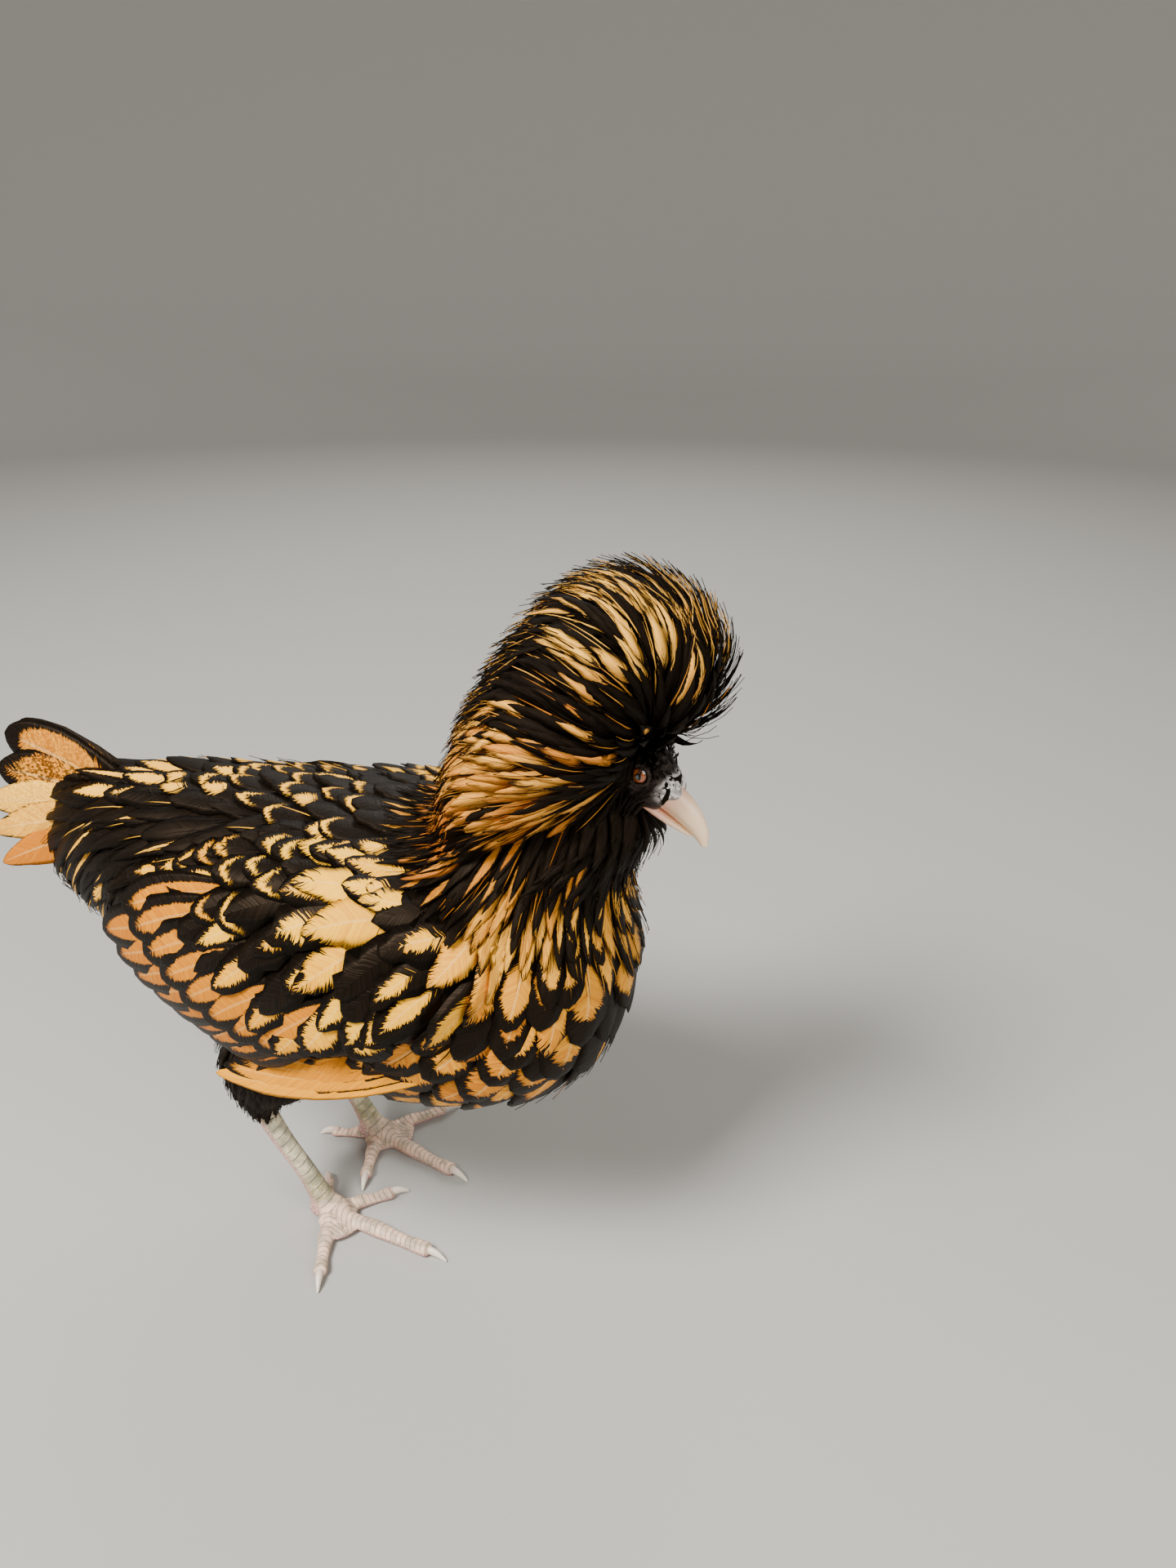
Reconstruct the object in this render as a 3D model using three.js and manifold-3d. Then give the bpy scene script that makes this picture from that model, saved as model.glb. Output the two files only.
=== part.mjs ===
// A crested hen standing still, life size, in millimetres.
// +X is the way the bird faces, +Y its left side, +Z up; the floor is z = 0.
// The bird is drawn round the midpoint between its feet, and the last lines
// move it so that the origin is the middle of its outline on the floor.
import * as THREE from "three";
import { mergeVertices } from "three/addons/utils/BufferGeometryUtils.js";
import Module from "manifold-3d";

// Driving dimensions
const GAP = 0.3; // left between any two neighbouring solids
const SHANK_HALF = 32; // half the distance between the two feet
const EYE_RADIUS = 4.6;
const HEAD_PITCH = THREE.MathUtils.degToRad(35.6); // the bill points this far below level
const GAPE = [172, 273.4]; // corner of the mouth, x and z
const WING_THICK = 9;
const WING_EDGE = 1.6;
const WING_SINK = 1; // how far a wing's inner face lies in the body's own surface
const VANE_HALF_THICK = 1.3; // half the thickness of a tail feather
const VANE_SIDES = 6;
const BODY_POWER = 2.25; // 2 is an ellipse, more is squarer

// Trunk with its coat: x, top z, bottom z, half width
const TRUNK = [
  [-168, 204, 184, 9],
  [-160, 217, 174, 19],
  [-143, 232, 165, 28],
  [-118, 243, 154, 39],
  [-88, 247, 140, 51],
  [-56, 249, 127, 62],
  [-22, 251, 113, 71],
  [14, 252, 104, 76],
  [50, 253, 101, 78],
  [82, 252, 102, 77],
  [110, 249, 107, 73],
  [133, 241, 117, 63],
  [150, 227, 131, 49],
  [161, 209, 151, 31],
  [165, 192, 170, 12],
];

// Outline of the folded wing on the trunk's side: x, top z, bottom z
const WING = [
  [-93, 199, 190],
  [-87, 206, 175],
  [-68, 218, 157],
  [-36, 230, 143],
  [0, 239, 139],
  [38, 244, 150],
  [74, 243, 164],
  [100, 235, 182],
  [118, 224, 198],
  [124, 216, 207],
];

// Tips of the primaries that show below the wing: x, top z, bottom z, y
const PRIMARIES = [
  [-24, 126, 120, 66],
  [-14, 133, 117, 67],
  [8, 141, 118, 70],
  [38, 149, 124, 73],
  [64, 154, 135, 75],
  [78, 156, 147, 75],
];

// Spines of the round parts: x, y, z, half width, half depth
const NECK = [
  [90, 0, 196, 56, 50],
  [108, 0, 222, 52, 50],
  [124, 0, 246, 44, 44],
  [138, 0, 268, 36, 36],
  [150, 0, 286, 27, 27],
];
const HEAD = [
  [146, 0, 294, 13, 14],
  [158, 0, 289, 17, 18],
  [170, 0, 284, 15.5, 16.5],
  [179, 0, 279, 11, 12],
];
const CREST = [
  [84, 0, 248, 38, 15],
  [97, 0, 266, 51, 29],
  [119, 0, 293, 59, 40],
  [143, 0, 316, 62, 48],
  [163, 0, 330, 58, 49],
  [179, 0, 333, 47, 42],
  [190, 0, 331, 33, 31],
];
const BEARD = [
  [126, 0, 256, 30, 14],
  [142, 0, 255, 34, 19],
  [158, 0, 258, 31, 19],
  [171, 0, 263, 20, 13],
];
const THIGH = [
  [10, 44, 140, 30, 40],
  [-9, 43, 120, 27, 41],
  [-23, 38, 98, 20, 33],
  [-32, 34, 78, 13, 21],
  [-35, 33, 65, 8, 11],
];
const SHANK = [
  [-34, 33, 64, 5.6, 6.2],
  [-24, 32.5, 47, 5.0, 5.4],
  [-12, 32, 28, 4.9, 5.3],
  [-4, 32, 14, 6.2, 6.4],
];

// Toes of each foot: heading in degrees from straight ahead towards the left,
// length to the claw's root, claw length, radius at the root
const TOES = {
  right: [
    ["hallux", 124, 24, 8, 3.4],
    ["inner", 43, 34, 11, 4.0],
    ["middle", -6, 63, 13, 4.6],
    ["outer", -66, 42, 12, 4.1],
  ],
  left: [
    ["hallux", 196, 26, 9, 3.4],
    ["inner", -72, 34, 11, 4.0],
    ["middle", -13, 56, 13, 4.6],
    ["outer", 50, 42, 12, 4.1],
  ],
};
const FOOT_X = { right: 2, left: -4 };
const TOE_LIFT = 0.86; // a toe's middle line above the floor, in its own radii: the sole is a flat

// Tail feathers on one side, from the top one down:
// tip x, tip y, tip z, half width of the vane
const TAIL_ROOT = [-92, 7, 214];
const TAIL_TIPS = [
  [-192, 5, 251, 17],
  [-200, 11, 228, 17],
  [-202, 17, 203, 16],
  [-193, 23, 181, 15],
];
const TAIL_CORE = [
  [-88, 0, 214, 22, 18],
  [-112, 0, 213, 22, 26],
  [-138, 0, 211, 17, 32],
  [-160, 0, 209, 9, 34],
];

const wasm = await Module();
wasm.setup();
const { sin, cos, abs, sign, PI, max, min } = Math;

// Smooth curve through rows of numbers; t runs from 0 at the first row to 1 at the last.
function between(rows, t) {
  const place = min(max(t, 0), 1) * (rows.length - 1);
  const i = min(Math.floor(place), rows.length - 2);
  const f = place - i;
  const row = (k) => rows[min(max(k, 0), rows.length - 1)];
  return rows[0].map((_, c) => {
    const [a, b, d, e] = [row(i - 1)[c], row(i)[c], row(i + 1)[c], row(i + 2)[c]];
    return b + 0.5 * f * (d - a + f * (2 * a - 5 * b + 4 * d - e + f * (3 * (b - d) + e - a)));
  });
}

// The value of t at which the first column of the rows reaches x.
function whereX(rows, x) {
  let [low, high] = [0, 1];
  for (let k = 0; k < 30; k += 1) {
    const middle = (low + high) / 2;
    if (between(rows, middle)[0] < x) low = middle;
    else high = middle;
  }
  return (low + high) / 2;
}

// Superellipse point at an angle: across and up, each in -1 to 1.
function squircle(angle, power) {
  const bend = (v) => sign(v) * abs(v) ** (2 / power);
  return [bend(cos(angle)), bend(sin(angle))];
}

// Closed skin over a list of rings with equal numbers of points, with a pole at each end.
function skinOver(rings, firstPole, lastPole) {
  const sides = rings[0].length;
  const points = [...rings.flat(), firstPole, lastPole];
  const first = points.length - 2;
  const last = points.length - 1;
  const faces = [];
  for (let j = 0; j < sides; j += 1) {
    const k = (j + 1) % sides;
    for (let i = 0; i + 1 < rings.length; i += 1) {
      const [a, b] = [i * sides + j, i * sides + k];
      faces.push(a, b, b + sides, a, b + sides, a + sides);
    }
    const end = (rings.length - 1) * sides;
    faces.push(first, k, j, last, end + j, end + k);
  }
  const geometry = new THREE.BufferGeometry();
  geometry.setAttribute("position", new THREE.Float32BufferAttribute(points.flat(), 3));
  geometry.setIndex(faces);
  return volume(geometry) < 0 ? turned(geometry) : geometry;
}

function volume(geometry) {
  const p = geometry.getAttribute("position");
  const index = geometry.getIndex().array;
  const corner = (k) => new THREE.Vector3().fromBufferAttribute(p, index[k]);
  let total = 0;
  for (let k = 0; k < index.length; k += 3) {
    total += corner(k).dot(corner(k + 1).cross(corner(k + 2))) / 6;
  }
  return total;
}

function turned(geometry) {
  const index = Array.from(geometry.getIndex().array);
  for (let k = 0; k < index.length; k += 3) {
    [index[k + 1], index[k + 2]] = [index[k + 2], index[k + 1]];
  }
  geometry.setIndex(index);
  return geometry;
}

// Body of changing oval section along a spine. Rows hold x, y, z, half width, half depth;
// the width lies level, the depth at right angles to it and to the spine.
function limb(rows, { rings = 12, sides = 14, power = 2, ends = [0.6, 0.6], floor = false }) {
  const steps = [];
  for (let k = 0; k <= rings; k += 1) steps.push(between(rows, k / rings));
  const at = (k) => new THREE.Vector3(...steps[min(max(k, 0), rings)].slice(0, 3));
  const ring = (k, shrink, shift) => {
    const along = at(k + 1).sub(at(k - 1)).normalize();
    const across = new THREE.Vector3(0, 0, 1).cross(along).normalize();
    const up = along.clone().cross(across);
    const [width, depth] = steps[k].slice(3);
    const centre = at(k).addScaledVector(along, shift * min(width, depth));
    const points = [];
    for (let j = 0; j < sides; j += 1) {
      const [s, r] = squircle((2 * PI * (j + 0.5)) / sides, power);
      const point = centre.clone();
      point.addScaledVector(across, s * width * shrink).addScaledVector(up, r * depth * shrink);
      if (floor) point.z = max(point.z, 0);
      points.push(point.toArray());
    }
    return { points, centre: centre.toArray() };
  };
  const all = [
    ring(0, 0.72, -ends[0] * 0.7).points,
    ...steps.map((_, k) => ring(k, 1, 0).points),
    ring(rings, 0.72, ends[1] * 0.7).points,
  ];
  return skinOver(all, ring(0, 0, -ends[0]).centre, ring(rings, 0, ends[1]).centre);
}

// Section of the trunk at x: middle z, half height, half width.
function trunkAt(x) {
  const [, top, bottom, half] = between(TRUNK, whereX(TRUNK, x));
  return { middle: (top + bottom) / 2, tall: (top - bottom) / 2, half };
}

function trunkShape(rings, sides) {
  const all = [];
  for (let i = 0; i <= rings; i += 1) {
    const [x, top, bottom, half] = between(TRUNK, i / rings);
    const points = [];
    for (let j = 0; j < sides; j += 1) {
      const [s, r] = squircle((2 * PI * (j + 0.5)) / sides, BODY_POWER);
      points.push([x, half * s, (top + bottom) / 2 + ((top - bottom) / 2) * r]);
    }
    all.push(points);
  }
  const ends = [TRUNK[0], TRUNK[TRUNK.length - 1]];
  const poles = ends.map(([x, top, bottom], k) => [x + (k ? 1.5 : -2.5), 0, (top + bottom) / 2]);
  return skinOver(all, ...poles);
}

// A thin layer on the bird's right side inside an outline of x, top z, bottom z. It lies on
// the trunk, or stands upright where the outline's rows have a fourth number, its own y.
function layer(outline, { rings, steps, thick, sink }) {
  const all = [];
  const middles = [];
  for (let i = 0; i <= rings; i += 1) {
    const [x, top, bottom, upright] = between(outline, i / rings);
    const { middle, tall, half } = trunkAt(x);
    const taper = sin(PI * min(max((i + 0.7) / (rings + 1.4), 0), 1)) ** 0.5;
    const outer = [];
    const inner = [];
    for (let k = 0; k <= steps; k += 1) {
      const z = top + ((bottom - top) * k) / steps;
      const rise = min(max((z - middle) / tall, -0.97), 0.97);
      const y = upright ?? half * (1 - abs(rise) ** BODY_POWER) ** (1 / BODY_POWER);
      const out = new THREE.Vector2(
        (y / half) ** (BODY_POWER - 1) / half,
        upright ? 0 : (sign(rise) * abs(rise) ** (BODY_POWER - 1)) / tall,
      ).normalize();
      const bulge = WING_EDGE + (thick - WING_EDGE) * taper * sin((PI * k) / steps) ** 0.6;
      outer.push([x, -(y + bulge * out.x), z + bulge * out.y]);
      inner.unshift([x, -(y - sink * out.x), z - sink * out.y]);
    }
    const points = [...outer, ...inner];
    all.push(points);
    middles.push([0, 1, 2].map((c) => points.reduce((sum, p) => sum + p[c], 0) / points.length));
  }
  const [head, tail] = [middles[0], middles[rings]];
  head[0] -= WING_EDGE;
  tail[0] += WING_EDGE;
  return skinOver(all, head, tail);
}

// One flat feather from the tail's root to its tip, rounded at the end; extra fattens it.
function vane([x, y, z, half], extra = 0) {
  const [rx, ry, rz] = TAIL_ROOT;
  const rows = [0, 0.3, 0.6, 0.85, 0.96, 1].map((t) => {
    const wide = half * (0.45 + 0.55 * sin(min(t / 0.7, 1) * (PI / 2)));
    const tip = t < 0.7 ? 1 : (1 - ((t - 0.7) / 0.31) ** 2) ** 0.5;
    const sag = 6 * sin(PI * t);
    return [rx + (x - rx) * t, ry + (y - ry) * t, rz + (z - rz) * t + sag, wide * tip];
  });
  const all = [];
  const rings = 5;
  const along = new THREE.Vector3(x - rx, 0, z - rz).normalize();
  for (let i = 0; i <= rings; i += 1) {
    const [px, py, pz, wide] = between(rows, i / rings);
    const points = [];
    for (let j = 0; j < VANE_SIDES; j += 1) {
      const angle = (2 * PI * j) / VANE_SIDES;
      const reach = (wide + 3 * extra) * cos(angle);
      const thick = (VANE_HALF_THICK + 2 * extra) * sin(angle);
      points.push([px - along.z * reach, py + thick + reach * 0.22, pz + along.x * reach]);
    }
    all.push(points);
  }
  const root = between(rows, 0).slice(0, 3);
  const tip = between(rows, 1).slice(0, 3);
  tip[0] -= extra;
  return skinOver(all, root, tip);
}

function mirrored(geometry) {
  const copy = geometry.clone();
  copy.scale(1, -1, 1);
  return turned(copy);
}

// The same surface moved outwards, for cutting a neighbour with a gap.
function grown(geometry, by) {
  const copy = geometry.clone();
  copy.computeVertexNormals();
  const p = copy.getAttribute("position");
  const n = copy.getAttribute("normal");
  for (let k = 0; k < p.count; k += 1) {
    p.setXYZ(k, p.getX(k) + by * n.getX(k), p.getY(k) + by * n.getY(k), p.getZ(k) + by * n.getZ(k));
  }
  copy.deleteAttribute("normal");
  return copy;
}

function solid(geometry) {
  const clean = mergeVertices(geometry, 1e-4);
  return new wasm.Manifold(
    new wasm.Mesh({
      numProp: 3,
      vertProperties: new Float32Array(clean.getAttribute("position").array),
      triVerts: new Uint32Array(clean.getIndex().array),
    }),
  );
}

function surface(manifold) {
  const mesh = manifold.getMesh();
  const geometry = new THREE.BufferGeometry();
  geometry.setAttribute("position", new THREE.BufferAttribute(mesh.vertProperties, 3));
  geometry.setIndex(Array.from(mesh.triVerts));
  return geometry;
}

const joined = (shapes) => surface(shapes.map(solid).reduce((all, next) => all.add(next)));

// The shape less its neighbours, each grown by the gap, and less the thin ones that are
// already drawn fatter; crumbs that come loose are dropped.
function cut(shape, others, fattened = []) {
  const tools = [...others.map((other) => grown(other, GAP)), ...fattened];
  const rest = tools.reduce((left, tool) => left.subtract(solid(tool)), solid(shape));
  const pieces = rest.decompose().sort((a, b) => b.getMesh().numVert - a.getMesh().numVert);
  return surface(pieces[0]);
}

const hen = new THREE.Group();

function addPiece(name, geometry, color, roughness) {
  const material = new THREE.MeshStandardMaterial({ color, roughness, metalness: 0 });
  const mesh = new THREE.Mesh(geometry, material);
  mesh.name = name;
  hen.add(mesh);
}

// A point of the head's own frame: along the mouth line from its corner, and up from it.
function faceXZ(along, up) {
  const [c, s] = [cos(HEAD_PITCH), sin(HEAD_PITCH)];
  return [GAPE[0] + along * c + up * s, GAPE[1] - along * s + up * c];
}

function faceRow([along, up, width, depth]) {
  const [x, z] = faceXZ(along, up);
  return [x, 0, z, width, depth];
}

function ball(x, y, z, [rx, ry, rz]) {
  const sphere = new THREE.SphereGeometry(1, 10, 7);
  const shape = mergeVertices(sphere.deleteAttribute("normal").deleteAttribute("uv"));
  shape.scale(rx, ry, rz);
  shape.rotateY(HEAD_PITCH);
  shape.translate(x, y, z);
  return shape;
}

// Head: bill, eyes and comb first, since the softer parts are cut to fit them
const BILL_UPPER = [
  [1, 6, 6.6, 6.6],
  [10, 6.6, 5.6, 6],
  [19, 5, 4.2, 4.6],
  [26, 2.4, 2.8, 3],
  [31, -0.4, 1.3, 1.3],
];
const BILL_LOWER = [
  [1, -2.6, 5.4, 2.2],
  [10, -2.3, 4.4, 2],
  [18, -1.8, 3, 1.5],
  [24, -1.4, 1.4, 0.8],
];
const bill = limb(BILL_UPPER.map(faceRow), { rings: 6, sides: 10, ends: [0.1, 0.7] });
const jaw = limb(BILL_LOWER.map(faceRow), { rings: 4, sides: 8, ends: [0.1, 0.7] });
const [eyeX, eyeZ] = faceXZ(-10.5, 13.1);
const eyeRight = ball(eyeX, -13.2, eyeZ, [EYE_RADIUS, EYE_RADIUS, EYE_RADIUS]);
const eyeLeft = mirrored(eyeRight);
const [combX, combZ] = faceXZ(2, 15.5);
const knob = ball(combX, 0, combZ, [6, 4.6, 4.2]);
const face = [bill, jaw, eyeLeft, eyeRight, knob];
const skull = limb(HEAD, { rings: 4, sides: 10 });
const crestBall = limb(CREST, { rings: 9, sides: 14, ends: [0.7, 0.6] });
const muff = limb(BEARD, { rings: 4, sides: 10 });
const throat = limb(NECK, { rings: 5, sides: 12, ends: [0.3, 0.4] });

const wingRight = layer(WING, { rings: 11, steps: 5, thick: WING_THICK, sink: WING_SINK });
const primariesRight = layer(PRIMARIES, { rings: 7, steps: 3, thick: 3.5, sink: 0.6 });
const tailCore = limb(TAIL_CORE, { rings: 3, sides: 8, ends: [0.3, 0.5] });
const vanes = (extra) => {
  const oneSide = TAIL_TIPS.map((tip) => vane(tip, extra));
  return [...oneSide, ...oneSide.map(mirrored)];
};

const onSide = (rows, side) => rows.map(([x, y, ...rest]) => [x, side === "left" ? y : -y, ...rest]);
const moved = (rows, x) => rows.map(([px, ...rest]) => [px + x, ...rest]);

// A foot: the ball of the foot, its toes and their claws, with flat soles on the floor.
function foot(side) {
  const y = side === "left" ? SHANK_HALF : -SHANK_HALF;
  const x = FOOT_X[side];
  const palm = limb(
    [
      [x - 7, y, 5, 6, 5.6],
      [x, y, 6, 8, 7],
      [x + 8, y, 5, 7, 5.6],
    ],
    { rings: 3, sides: 10, floor: true },
  );
  const toes = [];
  const claws = [];
  for (const [name, heading, length, clawLength, radius] of TOES[side]) {
    const turn = THREE.MathUtils.degToRad(heading);
    const row = (s, z, width, depth) => [x + s * cos(turn), y + s * sin(turn), z, width, depth];
    const toe = limb(
      [0.1, 0.32, 0.55, 0.78, 1].map((t) => {
        const pad = radius * (1 - 0.2 * t) + 0.35 * cos(4 * PI * t);
        return row(t * length, TOE_LIFT * pad, pad, pad);
      }),
      { rings: 5, sides: 8, floor: true },
    );
    const claw = limb(
      [
        row(length + 0.5, 3.4, 2.2, 2.4),
        row(length + clawLength * 0.6, 2.7, 1.5, 1.7),
        row(length + clawLength, 0.5, 0.6, 0.6),
      ],
      { rings: 3, sides: 6, ends: [0.2, 0.6], floor: true },
    );
    toes.push({ name: `toe_${name}_${side}`, shape: toe });
    claws.push({ name: `claw_${name}_${side}`, shape: claw, toe });
  }
  return { palm, toes, claws };
}

const legs = [];
const thighs = [];
for (const side of ["right", "left"]) {
  const { palm, toes, claws } = foot(side);
  const shank = limb(moved(onSide(SHANK, side), FOOT_X[side]), { rings: 4, sides: 8 });
  const thigh = limb(moved(onSide(THIGH, side), FOOT_X[side]), { rings: 5, sides: 10 });
  const toeShapes = toes.map(({ shape }) => shape);
  legs.push([`foot_${side}`, palm, 0xc4c0ba]);
  legs.push([`shank_${side}`, cut(shank, [palm, ...toeShapes]), 0xb9bcb8]);
  toes.forEach(({ name, shape }, k) => {
    legs.push([name, cut(shape, [palm, ...toeShapes.slice(0, k)]), 0xd8c6bd]);
  });
  claws.forEach(({ name, shape, toe }) => legs.push([name, cut(shape, [toe]), 0xd9c4a8]));
  thighs.push({ name: `thigh_${side}`, shape: thigh, shank });
}

const wings = [wingRight, mirrored(wingRight)];
const primaries = [primariesRight, mirrored(primariesRight)];
const trunk = trunkShape(15, 16);

addPiece("head", cut(skull, face), 0x241a14, 0.9);
addPiece("beak_upper", bill, 0xe2c3ae, 0.45);
addPiece("beak_lower", cut(jaw, [bill]), 0xdcbba6, 0.5);
addPiece("comb", cut(knob, [bill]), 0x8f8b8a, 0.7);
addPiece("eye_right", eyeRight, 0xb5541c, 0.12);
addPiece("eye_left", eyeLeft, 0xb5541c, 0.12);
addPiece("crest", cut(crestBall, [skull, ...face]), 0xa9682c, 0.85);
addPiece("beard", cut(muff, [crestBall, skull, ...face]), 0x1c1613, 0.9);
addPiece("neck", cut(throat, [muff, crestBall, skull, ...face]), 0x7a4a20, 0.85);
const besideTrunk = [...wings, ...primaries, tailCore, throat, muff, crestBall];
addPiece("trunk", cut(trunk, besideTrunk, vanes(GAP)), 0x8a5a26, 0.8);
addPiece("wing_right", wings[0], 0xc98c3f, 0.7);
addPiece("wing_left", wings[1], 0xc98c3f, 0.7);
addPiece("primaries_right", cut(primaries[0], [wings[0]]), 0xd9a055, 0.65);
addPiece("primaries_left", cut(primaries[1], [wings[1]]), 0xd9a055, 0.65);
addPiece("tail", joined([tailCore, ...vanes(0)]), 0xb9813c, 0.7);
thighs.forEach(({ name, shape, shank }) => {
  addPiece(name, cut(shape, [trunk, ...wings, ...primaries, shank]), 0x2a1e16, 0.95);
});
legs.forEach(([name, shape, colour]) => addPiece(name, shape, colour, 0.6));

const outline = new THREE.Box3().setFromObject(hen);
const middle = outline.getCenter(new THREE.Vector3());
hen.position.set(-middle.x, -middle.y, 0);

const model = new THREE.Group();
model.add(hen);
export default model;
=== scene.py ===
import math

import bpy
import numpy as np
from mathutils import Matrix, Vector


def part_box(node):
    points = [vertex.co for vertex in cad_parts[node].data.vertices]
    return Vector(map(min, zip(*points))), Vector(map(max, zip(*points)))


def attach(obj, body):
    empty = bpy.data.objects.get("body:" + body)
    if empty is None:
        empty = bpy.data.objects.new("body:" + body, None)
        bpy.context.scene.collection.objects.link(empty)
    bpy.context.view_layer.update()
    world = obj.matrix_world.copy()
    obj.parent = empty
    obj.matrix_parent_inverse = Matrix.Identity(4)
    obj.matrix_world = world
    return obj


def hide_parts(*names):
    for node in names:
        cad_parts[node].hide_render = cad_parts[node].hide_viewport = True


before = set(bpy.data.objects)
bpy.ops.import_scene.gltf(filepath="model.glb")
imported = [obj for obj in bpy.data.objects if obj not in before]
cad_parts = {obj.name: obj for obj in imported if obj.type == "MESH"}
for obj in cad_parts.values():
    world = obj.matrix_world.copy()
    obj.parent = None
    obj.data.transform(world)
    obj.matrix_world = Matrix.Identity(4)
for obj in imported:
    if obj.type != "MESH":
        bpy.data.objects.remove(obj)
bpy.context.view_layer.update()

import openvdb
from mathutils import Vector, kdtree

SEED = 20
SIDES_Y = {"right": -1, "left": 1}

# Grids that hold the distance to a surface, all in mm: step, corners and how far they reach
BODY_STEP = 2.0
BODY_LOW = (-214, -104, 20)
BODY_HIGH = (222, 104, 390)
BODY_BAND = 24.0
HEAD_STEP = 0.8
HEAD_LOW = (142, -27, 256)
HEAD_HIGH = (200, 27, 318)
HEAD_BAND = 8.0
FOOT_STEP = 0.86
FOOT_BOX = {"right": ((-50, -88, -3), (80, 10, 74)), "left": ((-56, -18, -3), (80, 82, 74))}
FOOT_BAND = 7.0
CAP_RINGS = 5  # rings that close each end of a tube

# Trunk with its coat: x, top z, bottom z, half width
TRUNK = [
    (-168, 204, 184, 9),
    (-160, 217, 174, 19),
    (-143, 232, 165, 28),
    (-118, 243, 154, 39),
    (-88, 247, 140, 51),
    (-56, 249, 127, 62),
    (-22, 251, 113, 71),
    (14, 252, 104, 76),
    (50, 253, 101, 78),
    (82, 252, 102, 77),
    (110, 249, 107, 73),
    (133, 241, 117, 63),
    (150, 227, 131, 49),
    (161, 209, 151, 31),
    (165, 192, 170, 12),
]
TRUNK_ENDS = ((-170.5, 194), (166.5, 181))  # x and z of the points where it closes, back and front
TRUNK_POWER = 2.25

# Outline of the folded wing on the trunk's side: x, top z, bottom z
WING = [
    (-93, 199, 190),
    (-87, 206, 175),
    (-68, 218, 157),
    (-36, 230, 143),
    (0, 239, 139),
    (38, 244, 150),
    (74, 243, 164),
    (100, 235, 182),
    (118, 224, 198),
    (124, 216, 207),
]
WING_THICK = 8.5
WING_EDGE_ROUNDING = 9.0

# Spines of the round parts: x, y, z, half width, half depth
NECK = [
    (90, 0, 196, 56, 50),
    (108, 0, 222, 52, 50),
    (124, 0, 246, 44, 44),
    (138, 0, 268, 36, 36),
    (150, 0, 286, 27, 27),
]
HEAD = [(146, 0, 294, 13, 14), (158, 0, 289, 17, 18), (170, 0, 284, 15.5, 16.5), (179, 0, 279, 11, 12)]
CREST = [
    (90, 0, 248, 35, 13),
    (103, 0, 266, 47, 25),
    (123, 0, 291, 55, 36),
    (145, 0, 313, 57, 43),
    (162, 0, 327, 54, 45),
    (177, 0, 330, 43, 38),
    (187, 0, 329, 30, 28),
]
BEARD = [(126, 0, 256, 30, 14), (142, 0, 255, 34, 19), (158, 0, 258, 31, 19), (171, 0, 263, 20, 13)]
THIGH = [
    (4, 44, 140, 29, 34),
    (-15, 43, 120, 26, 31),
    (-27, 38, 98, 19, 22),
    (-33, 34, 78, 12, 14),
    (-35, 33, 65, 7.5, 10),
]
SHANK = [(-34, 33, 66, 5.8, 6.4), (-24, 32.5, 47, 5.1, 5.6), (-12, 32, 28, 5.0, 5.5), (-4, 32, 12, 6.2, 6.4)]
TAIL_CORE = [(-88, 0, 214, 22, 18), (-112, 0, 213, 22, 26), (-138, 0, 211, 17, 32), (-160, 0, 209, 9, 34)]
CREST_KNOB = np.array([178.0, 0.0, 300.0])  # the point that the crest's feathers spread from

# How deep each part's coat is over its skin, and how softly the parts join the trunk one by one, in mm
COAT = {
    "trunk": 4.0,
    "wing": 3.5,
    "neck": 5.0,
    "thigh": 5.0,
    "tail": 4.0,
    "crest": 8.0,
    "beard": 6.0,
    "head": 1.5,
}
JOIN_REACH = {"wing": 4, "neck": 14, "thigh": 12, "tail": 9, "crest": 4, "beard": 5, "head": 4}

# Head's own frame: x, z of the mouth's corner, and how far the bill points below level. The bill's
# two halves in it: along the mouth line, up from it, half width, half depth
GAPE = (172, 273.4)
BILL_PITCH = math.radians(35.6)
BILL_UPPER = [
    (0, 6.2, 6.8, 6.8),
    (10, 6.9, 5.7, 6.7),
    (19, 5.5, 4.4, 5.6),
    (26, 2.9, 3.0, 4.0),
    (31.5, -0.8, 1.2, 1.7),
]
BILL_LOWER = [(0, -2.6, 5.6, 2.2), (10, -2.3, 4.5, 2.0), (18, -1.8, 3.0, 1.5), (24, -1.4, 1.3, 0.8)]
EYE_ALONG_UP = (-10.5, 13.1)
EYE_Y = 11.8
EYE_RADIUS = 4.6

# Toes: heading in degrees from straight ahead towards the left, length, claw length, radius
TOES = {
    "right": {
        "hallux": (124, 24, 8, 3.4),
        "inner": (43, 34, 11, 4.0),
        "middle": (-6, 63, 13, 4.6),
        "outer": (-66, 42, 12, 4.1),
    },
    "left": {
        "hallux": (196, 26, 9, 3.4),
        "inner": (-72, 34, 11, 4.0),
        "middle": (-13, 56, 13, 4.6),
        "outer": (50, 42, 12, 4.1),
    },
}
FOOT_X = {"right": 2, "left": -4}
FOOT_Y = 32
TOE_BLEND = 3.0
PALM = [(-7, 5.5, 6, 5.6), (0, 6.5, 8, 7), (8, 5, 7, 5.2)]  # ahead, height, half width, half depth
# Webs: the two toes, and the share of the shorter one that they reach; then along, half width, depth
WEBS = (("outer", "middle", 0.5), ("middle", "inner", 0.42))
WEB_STEPS = ((0.2, 9, 2.8), (0.7, 8.5, 2.1), (1.0, 6, 1.4))
WEB_HEIGHT = 3.4
WEB_BLEND = 2.0
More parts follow.
